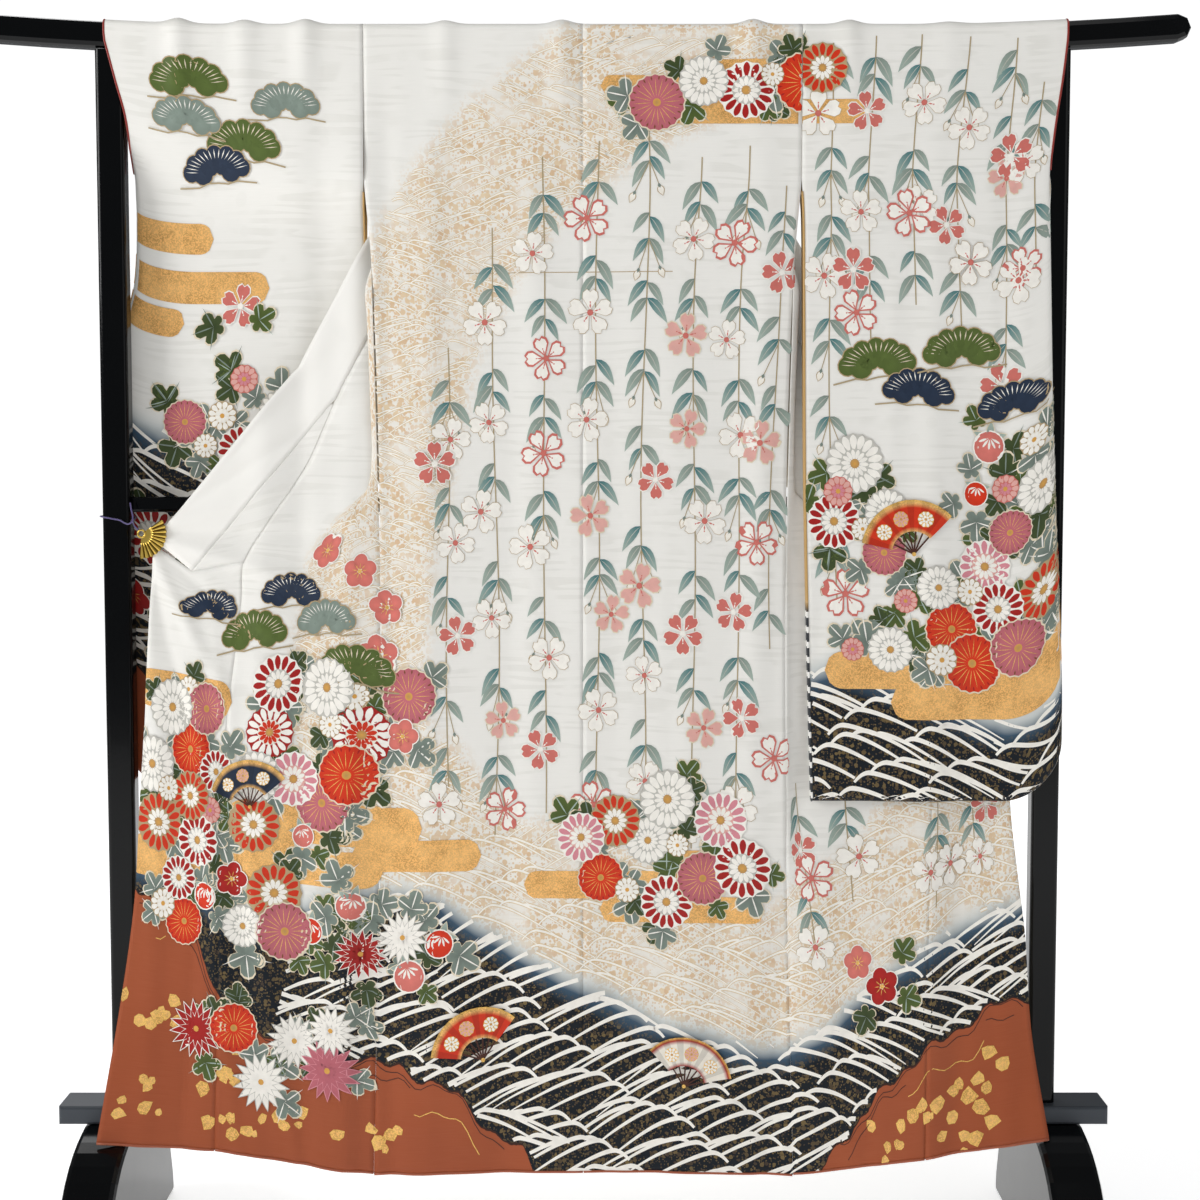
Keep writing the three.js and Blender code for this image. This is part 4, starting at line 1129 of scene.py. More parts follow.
# ---- layout of the print
# bars of gold mist: x, level, length, width
BARS = {
    "body": """
        215 1664 262 34, 120 1700 190 30, 255 1722 210 30, 60 556 300 40, 150 520 250 38, 205 590 150 34,
        -640 812 190 56, -560 606 250 62, -395 640 300 60, -470 575 330 54, -650 560 180 60,
        -250 600 190 46""",
    "near_right": "338 1664 130 34, 420 868 170 54, 560 882 300 66, 560 822 260 50, 640 850 160 60",
    "far_right": "400 850 230 50, 560 800 220 46",
    "near_left": "640 1488 170 44, 590 1418 250 46, 655 1366 120 40",
    "far_left": "420 880 230 52, 570 842 200 46",
}
# fans, pine boughs and single flowers: motif, x, level, turn
SINGLES = {
    "body": """
        pine -520 905 8, blue_pine -610 945 -6, sage_pine -395 930 4, pine -345 862 -8,
        blue_pine -460 968 3, plum -340 1010 0, plum -405 1040 30, plum -300 960 10, camellia 470 392 12,
        plum 428 430 0, moss 505 438 -40, green 440 350 150, moss 512 372 -110, fan_red -150 300 24,
        fan_cream 150 262 -18, fan_navy -505 660 12, ring 365 560 10, faint 590 560 30, coral 665 640 0,
        coral -225 1165 0, ring 292 742 20""",
    "near_right": """
        pine 420 1302 4, blue_pine 480 1262 -6, pine 545 1318 3, blue_pine 622 1240 4,
        fan_red 470 1035 16, coral 385 1440 0, ring 470 1520 12, faint 560 1450 30, coral 620 1600 15""",
    "far_right": """
        pine 420 1300 -4, blue_pine 520 1262 6, fan_cream 560 1060 -14, ring 400 1480 0,
        coral 560 1420 20""",
    "near_left": """
        sage_pine 430 1668 0, pine 500 1612 4, blue_pine 545 1580 -5, sage_pine 585 1648 6,
        pine 570 1700 0, coral 510 1392 10, moss 478 1372 60, green 548 1362 -110""",
    "far_left": """
        pine 440 1310 4, blue_pine 540 1272 -5, fan_red 470 1030 10, coral 420 1500 0, ring 560 1560 14""",
}
# weeping strands: x, top, bottom
STRANDS = {
    "body": """
        -205 1330 700, -132 1500 628, -58 1600 660, 22 1622 596, 92 1640 640, 168 1600 610, 236 1616 668,
        288 1560 900, 352 700 470, 425 690 520, 560 700 500, 640 700 560""",
    "near_right": """
        352 1760 960, 412 1770 1340, 478 1772 1390, 545 1768 1340, 612 1764 1300, 655 1700 1420""",
    "far_right": "360 1740 1150, 430 1760 1340, 505 1768 1310, 580 1760 1200, 640 1700 1300",
    "near_left": "",
    "far_left": "350 1740 1200, 430 1766 1330, 510 1764 1260, 590 1750 1180",
}
# bouquets: x, level, half width, half height, leaves to a bloom, blooms
BOUQUETS = {
    "body": """
        205 1700 120 44 3 red mauve white orange pink red white daisy,
        118 604 130 78 3 red white mauve orange pink scarlet white red pink daisy daisy,
        -630 700 66 130 3 scarlet orange white red mauve white scarlet red daisy rosy daisy,
        -430 730 120 120 3 starry mauve scarlet pink orange red white starry pink_citrus daisy white,
        -560 500 140 50 2 scarlet white orange citrus camellia daisy mauve red,
        -320 468 110 60 3 citrus pink_citrus red_star citrus pink_citrus white_star starry,
        -455 300 150 56 3 white_star rose_star red_star white_star orange white_star,
        -300 830 46 70 2 plum mauve daisy plum""",
    "near_right": """
        600 1130 70 90 3 pink_citrus citrus white mauve rosy daisy pink_citrus,
        400 1080 56 90 3 white mauve red daisy white rosy,
        560 950 110 80 3 orange scarlet red mauve white orange rosy daisy pink daisy,
        425 900 50 30 3 white rosy daisy, 340 1716 30 22 2 scarlet white daisy""",
    "far_right": "470 980 120 100 3 orange scarlet red mauve white rosy daisy pink",
    "near_left": """
        505 1240 90 62 3 mauve white red daisy rosy daisy,
        600 960 70 120 2 red white camellia mauve scarlet""",
    "far_left": "500 980 120 110 3 scarlet orange white mauve red rosy daisy",
}


def strands(motifs, rng, name):
    """The weeping strands of the body or of a sleeve's layer."""
    return [strand(motifs, rng, *map(float, row)) for row in table_rows(STRANDS[name])]


def laid_out(motifs, rng, name):
    """The mist, the bouquets and the single motifs of the body or of a sleeve's layer."""
    parts = []
    for n, row in enumerate(table_rows(BARS[name])):
        x, level, *sizes = map(float, row)
        parts.append(placed(gold_bar(*sizes), x, level, layer=6.0 + n % 3))
    parts += [bouquet(motifs, rng, *map(float, row[:4]), int(row[4]), row[5:])
              for row in table_rows(BOUQUETS[name])]
    for n, (kind, *row) in enumerate(table_rows(SINGLES[name])):
        x, level, turn = map(float, row)
        layer = 9.0 + n % 4 * 5 + 32 * ("fan" in kind)
        parts.append(placed(motifs[kind][0], x, level, 1, turn, layer))
    return parts


def body_motifs(motifs):
    """The body's print in three pieces: the waves, the strands, and the bars and flowers."""
    def sea(x, level):
        return (sea_depth(x, level) > 4) & (land_depth(x, level) < -4) & (x > CALM_SEA + level * 0.2)

    def foam(x, level):
        return (spray(x, level) > 0.45) & (sea_depth(x, level) < 2) & (level < 780)

    def band(x, level):
        return (spray(x, level) > 0.45) & (level > 780) & (level < 1770)

    body = (-715, 715)
    water = joined([
        waves(sea, (body, (110, 600)), 1.0, 11, (7.0,), ("white",)),
        waves(foam, (body, (300, 800)), 1.0, 12, (5.4, 3.4), ("tan", "white")),
        waves(band, (body, (760, 1775)), 0.62, 13, (3.8, 2.2), ("tan", "white")),
    ])
    rng = np.random.default_rng(21)
    hanging = joined(strands(motifs, rng, "body"))
    rng = np.random.default_rng(31)
    parts = laid_out(motifs, rng, "body") + land_marks(rng)
    tuck = spaced(-172, 132, RING)  # where the seam of the waist tuck shows
    parts.append(ribbon(np.stack([tuck, 1437 + 0.01 * tuck], 1), 1.1, "hair"))
    return {"waves": water, "strands": hanging, "flowers": joined(parts)}


def land_marks(rng):
    """Scraps of gold leaf in loose groups over the land, and fine contour lines along its edge."""
    parts = []
    for x, level, count in numbers(
            "-640 330 9, -560 250 9, -660 200 7, -430 215 8, -330 190 6, -520 170 7, 560 190 8, "
            "640 240 7, 470 165 5, 610 160 5"):
        for _ in range(int(count)):
            parts.append(placed(flake(rng, rng.uniform(7, 16)), x + rng.normal(0, 24),
                                level + rng.normal(0, 17), turn=rng.uniform(0, 360)))
    for low, high in ((-712, -110), (372, 712)):
        for drop in (7, 22, 44):
            x = spaced(low + drop, high - drop, 9)
            level = land_depth(x, 0) - drop - 5 * np.sin(x / 23 + drop)
            shown = np.sin(x / 41 + drop) > (-1.1 if drop < 10 else 0.0)
            for run in np.split(np.arange(len(x)), np.flatnonzero(np.diff(shown)) + 1):
                if shown[run[0]] and len(run) > 2:
                    path = np.stack([x[run], level[run]], 1)
                    parts.append(ribbon(path, 1.3, "leaf" if drop > 30 else "bark"))
    return parts


def sleeve_motifs(motifs, name, seed):
    """The print of one sleeve layer."""
    top, land = SLEEVE_GROUND[name]

    def sea(x, level):
        return (at(top, "level", x, "x") - level > 3) & (level > land + 4) & (x > 312) & (x < 690)

    rng = np.random.default_rng(seed)
    parts = [waves(sea, ((300, 700), (660, 1230)), 1.0, seed, (7.0,), ("white",))]
    return joined(parts + strands(motifs, rng, name) + laid_out(motifs, rng, name))


def print_mesh(name, motif, places, inside, facing=1):
    """Lays a motif on cloth: places gives the points of its places and layers. The triangles that
    have all three corners outside, or have come to nothing at the cloth's edge, are dropped."""
    points, triangles, dyes, layers = motif
    kept = triangles[inside(*points.T)[triangles].any(1)]
    used, same = np.unique(kept, return_inverse=True)
    points, triangles = points[used], same.reshape(-1, 3)
    laid = places(*points.T, PRINT_LIFT + layers[used] * LAYER)
    a, b, c = (laid[triangles[:, n]] for n in range(3))
    area = np.linalg.norm(np.cross(b - a, c - a), axis=1) / 2
    longest = np.max([np.linalg.norm(a - b, axis=1), np.linalg.norm(b - c, axis=1)], 0)
    triangles = triangles[(area > 1e-4) & (longest < 40)]
    piece = new_mesh(name, laid, triangles[:, ::facing], points * MM, None, dyes[used])
    return finish(piece, None, "satin", [satin_print()])


def on_body(cloths, x, level, lift):
    """Points on the near cloth of the body, on whichever panel holds x."""
    laid = np.empty((len(x), 3))
    far = np.abs(x)
    spans = (("back", 0, BACK_CUT), ("front", FRONT_AT, FRONT_CUT), ("okumi", OKUMI_AT, OKUMI_CUT))
    for name, (side, *_) in SIDES.items():
        for panel, start, width in spans:
            last = panel == "okumi"
            here = ((x < 0) if side < 0 else (x >= 0)) & (far >= start) & (
                (far < start + width) | last)
            u = np.clip((far[here] - start) / width, 0, 1)
            laid[here] = cloths[f"{panel}_{name}"].sample(u, level[here], lift[here])
    return laid


def in_body(x, level):
    """Where the body's cloth is near and can be printed on."""
    far = np.abs(x)
    return (level > HEM_MIDDLE) & (far < OKUMI_AT + OKUMI_CUT) & (level < TOP) & (
        (far < FRONT_AT - 2) | ((level < 1150) & (far < OKUMI_AT - 2)) | (level < OKUMI_CORNER - 30))


# ---- materials
class Tree:
    """A short way to add and link shader nodes in one tree."""

    def __init__(self, tree):
        self.tree = tree

    def add(self, kind, values=None, **settings):
        node = self.tree.nodes.new(("" if kind.startswith("Node") else "ShaderNode") + kind)
        for name, value in settings.items():
            setattr(node, name, value)
        for name, value in (values or {}).items():
            self.put(node.inputs[name], value)
        return node

    def put(self, socket, value):
        """Links a socket or sets a constant. A colour may leave out its fourth number."""
        if isinstance(value, bpy.types.NodeSocket):
            self.tree.links.new(value, socket)
        else:
            three = socket.type == "RGBA" and len(value) == 3
            socket.default_value = (*value, 1.0) if three else value

    def math(self, operation, a, b):
        return self.add("Math", {0: a, 1: b}, operation=operation).outputs[0]

    def times(self, a, b):
        return self.math("MULTIPLY", a, b)

    def plus(self, a, b):
        return self.math("ADD", a, b)

    def mix(self, share, a, b, blend="MIX"):
        return self.add("Mix", {0: share, 6: a, 7: b}, data_type="RGBA", blend_type=blend).outputs[2]

    def steps(self, value, low, high):
        """0 below low, 1 above high, and an S-curve between."""
        return self.add("MapRange", {"Value": value, "From Min": low, "From Max": high},
                        interpolation_type="SMOOTHSTEP").outputs[0]

    def noise(self, vector, scale, detail=2.0):
        return self.add("TexNoise", {"Vector": vector, "Scale": scale, "Detail": detail}).outputs["Fac"]

    def stretched(self, vector, *scale):
        return self.add("Mapping", {"Vector": vector, "Scale": scale}).outputs[0]

    def bump(self, height, strength, distance):
        return self.add("Bump", {"Height": height, "Strength": strength,
                                 "Distance": distance}).outputs[0]

    def on_cloth(self):
        return self.add("UVMap", uv_map="cut").outputs[0]

    def in_space(self):
        return self.add("TexCoord").outputs["Object"]

    def attribute(self, name, output="Fac"):
        return self.add("Attribute", attribute_name=name).outputs[output]

    def effect(self, name, **values):
        """The outputs of a node group with its values."""
        return self.add("Group", values, node_tree=effect(name)).outputs

    def weave(self, place, figure, strength):
        """The silk weave's outputs, and the sockets that its bump and its change of gloss feed."""
        weave = self.effect("silk weave", Place=place, Figure=figure)
        rough = self.plus(0.36, self.times(weave["Figure"], 0.14))
        return weave, {"Normal": self.bump(weave["Height"], strength, 0.0004),
                       "Roughness": self.plus(rough, self.times(weave["Slub"], 0.12))}


def silk_weave(tree, given):
    """Satin weave: fine warp along the cloth and slow slubs across it, with a woven figure of
    running water and small flowers that shines less than its ground."""
    place = given["Place"]
    warp = tree.noise(tree.stretched(place, 2600.0, 120.0, 1.0), 1.0)
    slub = tree.noise(tree.stretched(place, 26.0, 620.0, 1.0), 1.0, 3.0)
    water = tree.add("TexWave", {"Vector": tree.stretched(place, 2.0, 21.0, 1.0), "Scale": 0.9,
                                 "Distortion": 14.0, "Detail": 2.0, "Detail Scale": 1.6},
                     bands_direction="Y").outputs["Fac"]
    line = tree.times(tree.steps(water, 0.55, 0.8), tree.steps(tree.noise(place, 16.0), 0.4, 0.6))
    flower = tree.add("TexVoronoi", {"Vector": place, "Scale": 22.0}).outputs["Distance"]
    petals = tree.times(tree.steps(flower, 0.22, 0.16), 0.35)
    figure = tree.times(tree.math("MAXIMUM", line, petals), given["Figure"])
    height = tree.plus(tree.plus(tree.times(warp, 0.35), tree.times(slub, 0.8)), tree.times(figure, 0.5))
    return {"Height": height, "Slub": slub, "Figure": figure}


def leaf_flecks(tree, given):
    """Flecks of leaf or pigment: cells of two sizes that are on or off by a chance for each, and a
    tone that differs from cell to cell."""
    masks, tones = [], []
    for factor in (1.0, 2.3):
        cell = tree.add("TexVoronoi", {"Vector": given["Place"],
                                       "Scale": tree.times(given["Scale"], factor)}).outputs
        shade = tree.add("SeparateColor", {"Color": cell["Color"]}).outputs
        on = tree.math("LESS_THAN", shade[0], given["Chance"])
        masks.append(tree.times(on, tree.steps(cell["Distance"], 0.62, 0.5)))
        tones.append(shade[1])
    return {"Mask": tree.math("MAXIMUM", *masks), "Tone": tones[0]}


def handling_marks(tree, given):
    """Marks of handling on a polished surface: broad clouds and fine dust, to add to roughness."""
    cloud = tree.noise(given["Place"], 9.0, 3.0)
    dust = tree.steps(tree.noise(given["Place"], 420.0), 0.62, 0.72)
    both = tree.plus(tree.times(cloud, 0.6), tree.times(dust, 0.4))
    return {"Mark": tree.times(both, given["Amount"]), "Cloud": cloud}


EFFECTS = {  # what builds each node group, its numbers with their defaults, and its outputs
    "silk weave": (silk_weave, {"Figure": 1.0}, ("Height", "Slub", "Figure")),
    "leaf flecks": (leaf_flecks, {"Scale": 100.0, "Chance": 0.4}, ("Mask", "Tone")),
    "handling": (handling_marks, {"Amount": 0.1}, ("Mark", "Cloud")),
}


def effect(name):
    """A node group by its name, built the first time that it is asked for."""
    made = bpy.data.node_groups.get(name)
    if made is None:
        build, numbers_in, outputs = EFFECTS[name]
        made = bpy.data.node_groups.new(name, "ShaderNodeTree")
        made.interface.new_socket("Place", in_out="INPUT", socket_type="NodeSocketVector")
        for label, default in numbers_in.items():
            socket = made.interface.new_socket(label, in_out="INPUT", socket_type="NodeSocketFloat")
            socket.default_value = default
        for label in outputs:
            made.interface.new_socket(label, in_out="OUTPUT", socket_type="NodeSocketFloat")
        tree = Tree(made)
        entry, leave = tree.add("NodeGroupInput"), tree.add("NodeGroupOutput")
        for label, socket in build(tree, entry.outputs).items():
            tree.put(leave.inputs[label], socket)
    return made


def material(name, build, **fixed):
    """A material, made once: fixed gives plain sockets of its Principled shader, and build gives
    the others from the tree."""
    made = bpy.data.materials.get(name)
    if made is None:
        made = bpy.data.materials.new(name)
        made.use_nodes = True
        tree, shader = Tree(made.node_tree), made.node_tree.nodes["Principled BSDF"]
        for label, value in {**fixed, **build(tree)}.items():
            tree.put(shader.inputs[label.replace("_", " ")], value)
    return made


def satin_ground(dyes):
    """Dyed satin: cream silk, gold spray where the attribute asks for it, a sea that darkens with
    depth and holds flecks of gold and brown, and rust land with a dark edge."""
    def build(tree):
        place = tree.on_cloth()
        sea, land, spread = map(tree.attribute, ("sea", "land", "spray"))
        weave, sockets = tree.weave(place, 1.0, 0.25)
        tone = tree.plus(tree.times(weave["Slub"], 0.3), tree.times(weave["Figure"], 0.34))
        cream = tree.mix(tone, dyes.cream, dyes.cream_shade)
        flecks = tree.effect("leaf flecks", Place=place, Scale=130.0, Chance=0.5)
        amount = tree.times(tree.times(flecks["Mask"], spread), 0.66)
        clouds = tree.steps(tree.noise(place, 14.0, 3.0), 0.3, 0.52)
        spray_dye = tree.mix(flecks["Tone"], dyes.spray, dyes.spray_pale)
        cream = tree.mix(tree.times(spread, 0.1), cream, dyes.spray_pale)
        shown = tree.mix(tree.times(amount, clouds), cream, spray_dye)
        deep = tree.plus(sea, tree.times(tree.plus(tree.noise(place, 7.0, 3.0), -0.5), 0.5))
        ramp = tree.add("ValToRGB", {"Fac": tree.steps(deep, -0.05, 0.85)})
        stops = ramp.color_ramp.elements
        stops[1].position = 0.72
        stops.new(0.3)
        for stop, dye in zip(stops, (dyes.sea_mist, dyes.sea_edge, dyes.sea)):
            stop.color = (*dye, 1.0)
        specks = tree.effect("leaf flecks", Place=place, Scale=170.0, Chance=0.3)
        amount = tree.times(specks["Mask"], tree.times(tree.steps(deep, 0.2, 0.6), 0.7))
        speck_dye = tree.mix(specks["Tone"], dyes.speck, dyes.speck_gold)
        water = tree.mix(amount, ramp.outputs[0], speck_dye)
        shown = tree.mix(tree.steps(deep, -0.22, 0.2), shown, water)
        shore = tree.plus(land, tree.times(tree.plus(tree.noise(place, 60.0), -0.5), 0.1))
        soil = tree.mix(tree.noise(place, 5.0, 4.0), dyes.rust, dyes.rust_dark)
        soil = tree.mix(tree.times(weave["Slub"], 0.3), soil, dyes.rust_pale)
        shown = tree.mix(tree.steps(shore, -0.03, -0.02), shown, dyes.bark)
        shown = tree.mix(tree.steps(shore, 0.0, 0.01), shown, soil)
        return {"Base Color": shown, **sockets}

    return material("satin_ground", build, Sheen_Weight=0.07, Sheen_Roughness=0.4,
                    Specular_IOR_Level=0.2)


def satin_print():
    """Dyes and gold leaf on the satin: each point's own dye, with the cloth's weave, uneven dye and,
    where it is gold leaf, a crackle of paler and darker grains."""
    def build(tree):
        place = tree.on_cloth()
        dye = tree.add("Attribute", attribute_name="dye").outputs
        uneven = tree.plus(0.86, tree.times(tree.noise(place, 90.0, 3.0), 0.26))
        grey = tree.add("CombineColor", {n: uneven for n in range(3)}).outputs[0]
        plain = tree.mix(1.0, dye["Color"], grey, "MULTIPLY")
        grains = tree.effect("leaf flecks", Place=place, Scale=420.0, Chance=0.55)
        light = tree.mix(1.0, plain, (1.3, 1.28, 1.2), "MULTIPLY")
        dark = tree.mix(1.0, plain, (0.74, 0.68, 0.6), "MULTIPLY")
        gilt = tree.mix(tree.steps(tree.noise(place, 26.0, 4.0), 0.35, 0.65), dark, plain)
        gilt = tree.mix(tree.times(grains["Mask"], 0.7), gilt, light)
        return {"Base Color": tree.mix(dye["Alpha"], plain, gilt),
                "Metallic": tree.times(dye["Alpha"], 0.25), **tree.weave(place, 0.3, 0.25)[1]}

    return material("satin_print", build, Sheen_Weight=0.07, Sheen_Roughness=0.4,
                    Specular_IOR_Level=0.25)


def plain_silk(name, first, second, figure=0.4, strength=0.2):
    """Plain silk in two near tones that drift into each other."""
    def build(tree):
        place = tree.on_cloth()
        weave, sockets = tree.weave(place, figure, strength)
        drift = tree.plus(tree.times(weave["Slub"], 0.4), tree.times(tree.noise(place, 6.0, 3.0), 0.6))
        return {"Base Color": tree.mix(drift, first, second), **sockets}

    return material(name, build, Sheen_Weight=0.3, Sheen_Roughness=0.4)


def sleeve_edge(dyes):
    """The rolled facing of a sleeve's open edge: gold-tan silk, and below the sea's line navy with
    strokes of white."""
    def build(tree):
        place = tree.on_cloth()
        along = tree.add("SeparateXYZ", {"Vector": place}).outputs["Y"]
        height = tree.add("SeparateXYZ", {"Vector": tree.in_space()}).outputs["Z"]
        strokes = tree.math("FRACT", tree.times(along, 46.0), 0.0)
        band = tree.mix(tree.math("GREATER_THAN", strokes, 0.6), dyes.sea, dyes.cream)
        tan = tree.mix(tree.noise(place, 30.0, 3.0), dyes.tan, dyes.tan_shade)
        return {"Base Color": tree.mix(tree.steps(height, 0.97, 0.95), tan, band),
                **tree.weave(place, 0.2, 0.2)[1]}

    return material("sleeve_edge", build, Sheen_Weight=0.3)


def lacquer(finish):
    """Polished black lacquer: near black with faint clouds, dust and handling marks in its gloss."""
    def build(tree):
        place = tree.in_space()
        marks = tree.effect("handling", Place=place, Amount=0.16)
        return {"Roughness": tree.plus(finish.gloss, marks["Mark"]),
                "Base Color": tree.mix(marks["Cloud"], finish.black, finish.black_cloud),
                "Normal": tree.bump(tree.noise(place, 36.0), 0.03, 0.002)}

    return material("black_lacquer", build, Coat_Weight=0.1, Coat_Roughness=0.06,
                    Specular_IOR_Level=0.14)


def board_paint(finish):
    """Satin blue-black paint over a planed board, with faint grain along it."""
    def build(tree):
        place = tree.in_space()
        grain = tree.noise(tree.stretched(place, 6.0, 160.0, 160.0), 1.0, 4.0)
        marks = tree.effect("handling", Place=place, Amount=0.2)
        return {"Roughness": tree.plus(0.3, marks["Mark"]), "Normal": tree.bump(grain, 0.12, 0.001),
                "Base Color": tree.mix(grain, finish.board, finish.black)}

    return material("board_paint", build, Specular_IOR_Level=0.4)


def gilt_brass(finish):
    """Stamped brass with a warm plating that is brushed along the ribs, with painted shade that darkens it
    in the grooves.
    """
    def build(tree):
        marks = tree.effect("handling", Place=tree.in_space(), Amount=0.18)
        # painted shade: the brass is darkened where the mask marks the grooves between the ribs
        return {"Base Color": tree.mix(tree.attribute("painted_groove_shade"), finish.brass, finish.shaded_brass),
                "Roughness": tree.plus(0.24, marks["Mark"])}

    return material("gilt_brass", build, Metallic=1.0)


def braid(finish):
    """Tightly braided silk cord: strands slant round it, with painted shade that darkens it between them."""
    def build(tree):
        place = tree.stretched(tree.on_cloth(), 3.0, 300.0, 1.0)
        strands_in = tree.add("TexWave", {"Vector": place, "Scale": 1.0},
                              bands_direction="DIAGONAL").outputs["Fac"]
        # painted shade: the cord's colour darkens in the troughs between the strands
        return {"Base Color": tree.mix(strands_in, finish.shaded_cord, finish.cord),
                "Normal": tree.bump(strands_in, 0.5, 0.0003)}

    return material("silk_braid", build, Sheen_Weight=0.5, Roughness=0.6)


def stage_paper():
    """Pale seamless paper with the faintest mottle, which glows more with the way from the middle."""
    def build(tree):
        place = tree.in_space()
        away = tree.add("VectorMath", {0: place}, operation="LENGTH").outputs["Value"]
        glow = tree.mix(tree.steps(away, 0.9, 3.6), (0.6, 0.6, 0.6), (1, 1, 1))
        mottle = tree.mix(tree.noise(place, 3.0), (0.90, 0.90, 0.90), (0.87, 0.87, 0.87))
        return {"Emission Color": glow, "Base Color": mottle}

    return material("floor_paper", build, Roughness=0.9, Emission_Strength=1.05)


# ---- properties
def shade(name, code):
    """A colour property with its default given as a colour code."""
    return FloatVectorProperty(name=name, subtype="COLOR", size=3, min=0, max=1,
                               default=tuple(linear(code)[:3]))


def length(name, default, low, high):
    """A property for a length in metres."""
    return FloatProperty(name=name, default=default, min=low, max=high, unit="LENGTH", precision=4)


class FurisodeSizes(PropertyGroup):
    """Sizes of the cloth's grid and of the print."""
    grid: length("Spacing of the cloth's points", 0.007, 0.003, 0.02)
    wall: length("Thickness of the shown cloth", CLOTH * MM, 0.0004, 0.003)
    piping: length("Radius of the piping and the hem roll", 0.0016, 0.0005, 0.004)
    blossom: length("Radius of a cherry blossom", 0.033, 0.01, 0.06)
    bloom: length("Radius of a large chrysanthemum", 0.038, 0.01, 0.06)


class FurisodeDyes(PropertyGroup):
    """Colours of the dyed silk."""
    cream: shade("Ground of the satin", "f2f0ea")
    cream_shade: shade("Woven figure of the satin", "dedcd4")
    spray: shade("Gold spray", "cf9c55")
    spray_pale: shade("Paler gold spray", "dfc08c")
    sea_mist: shade("Top of the sea", "c9cfcd")
    sea_edge: shade("Sea below its mist", "3c5468")
    sea: shade("Depth of the sea", "0d151d")
    speck: shade("Brown specks in the sea", "4a3b2e")
    speck_gold: shade("Gold specks in the sea", "8a7448")
    rust: shade("Land at the hem", "ab5833")
    rust_dark: shade("Darker land", "8e4225")
    rust_pale: shade("Threads that shine in the land", "b8694a")
    bark: shade("Edge of the land", "3a2219")
    lining: shade("Lining of the body", "efe6d4")
    lining_shade: shade("Drift in the lining", "e5d8c0")
    tan: shade("Facing inside the sleeves", "cda765")
    tan_shade: shade("Drift in the facing", "b98d4c")
    # the collar's cream, darkened with painted shade so that it is no brighter than the ground
    white: shade("Collar", "d9d2c2")
    white_shade: shade("Drift in the collar", "c4bba9")
    red: shade("Piping of the cuffs", "9c2a1c")
    red_dark: shade("Drift in the piping", "7d1f15")


class RackFinish(PropertyGroup):
    """Finishes of the rack, the clip and its cord."""
    black: shade("Lacquer", "020304")
    black_cloud: shade("Faint clouds in the lacquer", "050607")
    board: shade("Paint of the board", "2b333c")
    brass: shade("Plating of the clip", "d9b95c")
    # painted shade that darkens the grooves of the clip
    shaded_brass: shade("Grooves of the clip", "6d5320")
    cord: shade("Braided cord", "5a4a8a")
    # painted shade between the strands of the cord
    shaded_cord: shade("Between the strands of the cord", "33285a")
    gloss: FloatProperty(name="Roughness of clean lacquer", default=0.1, min=0.02, max=0.6)


# ---- cloth pieces
def body_piece(context, kind, name, points, faces, x, level):
    """A panel of the body, with its place on the cut cloth and its zones: printed satin outside
    and plain silk inside."""
    dyes = context.scene.furisode_dyes
    uv = np.stack([x, level], -1).reshape(-1, 2) * MM
    piece = new_mesh(f"{kind}_panel_{name}", points.reshape(-1, 3), faces[:, ::SIDES[name][0]], uv,
                     body_zones(x, level))
    silks = [satin_ground(dyes), plain_silk("silk_lining", dyes.lining, dyes.lining_shade)]
    finish(piece, [f"{kind}_{name}"], "satin", silks, context.scene.furisode_sizes.wall / MM)


class FURISODE_OT_backs(Operator):
    """Makes the two back panels, from behind the bar over it and down to the hem"""
    bl_idname = "furisode.backs"
    bl_label = "Back panels"

    def execute(self, context):
        cloths = body_cloths(context.scene.furisode_sizes.grid / MM)
        for name, (side, *_) in SIDES.items():
            cloth = cloths["back_" + name]
            x = mix(SEAM / 2, SIDE["x"][0] - SEAM / 2, cloth.across) * side
            over = bar_rows(x, over_bar(8)[:-1])
            drop = np.linalg.norm(np.diff(over[:, 0], axis=0), axis=1)
            above = cloth.levels[0] + np.append(np.cumsum(drop[::-1])[::-1], 0.0) + 5.0
            x, level = np.meshgrid(side * cloth.across * BACK_CUT, [*above, *cloth.levels])
            points = np.concatenate([over, cloth.points])
            body_piece(context, "back", name, points, grid_faces(*level.shape), x, level)
        return {"FINISHED"}


class FURISODE_OT_fronts(Operator):
    """Makes the two fronts, behind the back at the top and spread beside it below"""
    bl_idname = "furisode.fronts"
    bl_label = "Fronts"

    def execute(self, context):
        cloths = body_cloths(context.scene.furisode_sizes.grid / MM)
        for name, (side, *_) in SIDES.items():
            cloth = cloths["front_" + name]
            x, level = np.meshgrid(side * (FRONT_AT + cloth.across * FRONT_CUT), cloth.levels)
            body_piece(context, "front", name, cloth.points, grid_faces(*level.shape), x, level)
        return {"FINISHED"}


class FURISODE_OT_okumi(Operator):
    """Makes the two okumi, the tapered strips between the fronts and the collar"""
    bl_idname = "furisode.okumi"
    bl_label = "Okumi"

    def execute(self, context):
        step = context.scene.furisode_sizes.grid / MM
        cloths = body_cloths(step)
        for name, (side, table, outer, *_) in SIDES.items():
            lower = cloths["okumi_" + name]
            us, zs = np.meshgrid(spaced(0, 100, step) / 100, spaced(OKUMI_POINT, OKUMI_CORNER, step))
            upper = okumi_upper(table, outer, side, us, zs)
            taper = us * 0.6 * OKUMI_CUT * (OKUMI_POINT - zs) / (OKUMI_POINT - OKUMI_CORNER)
            across, levels = np.meshgrid(lower.across * OKUMI_CUT, lower.levels)
            x = side * (OKUMI_AT + np.concatenate([taper.ravel(), across.ravel()]))
            level = np.concatenate([zs.ravel(), levels.ravel()])
            points = np.concatenate([upper.reshape(-1, 3), lower.points.reshape(-1, 3)])
            faces = np.concatenate([grid_faces(*us.shape), grid_faces(*levels.shape) + us.size])
            body_piece(context, "okumi", name, points, faces, x, level)
        return {"FINISHED"}


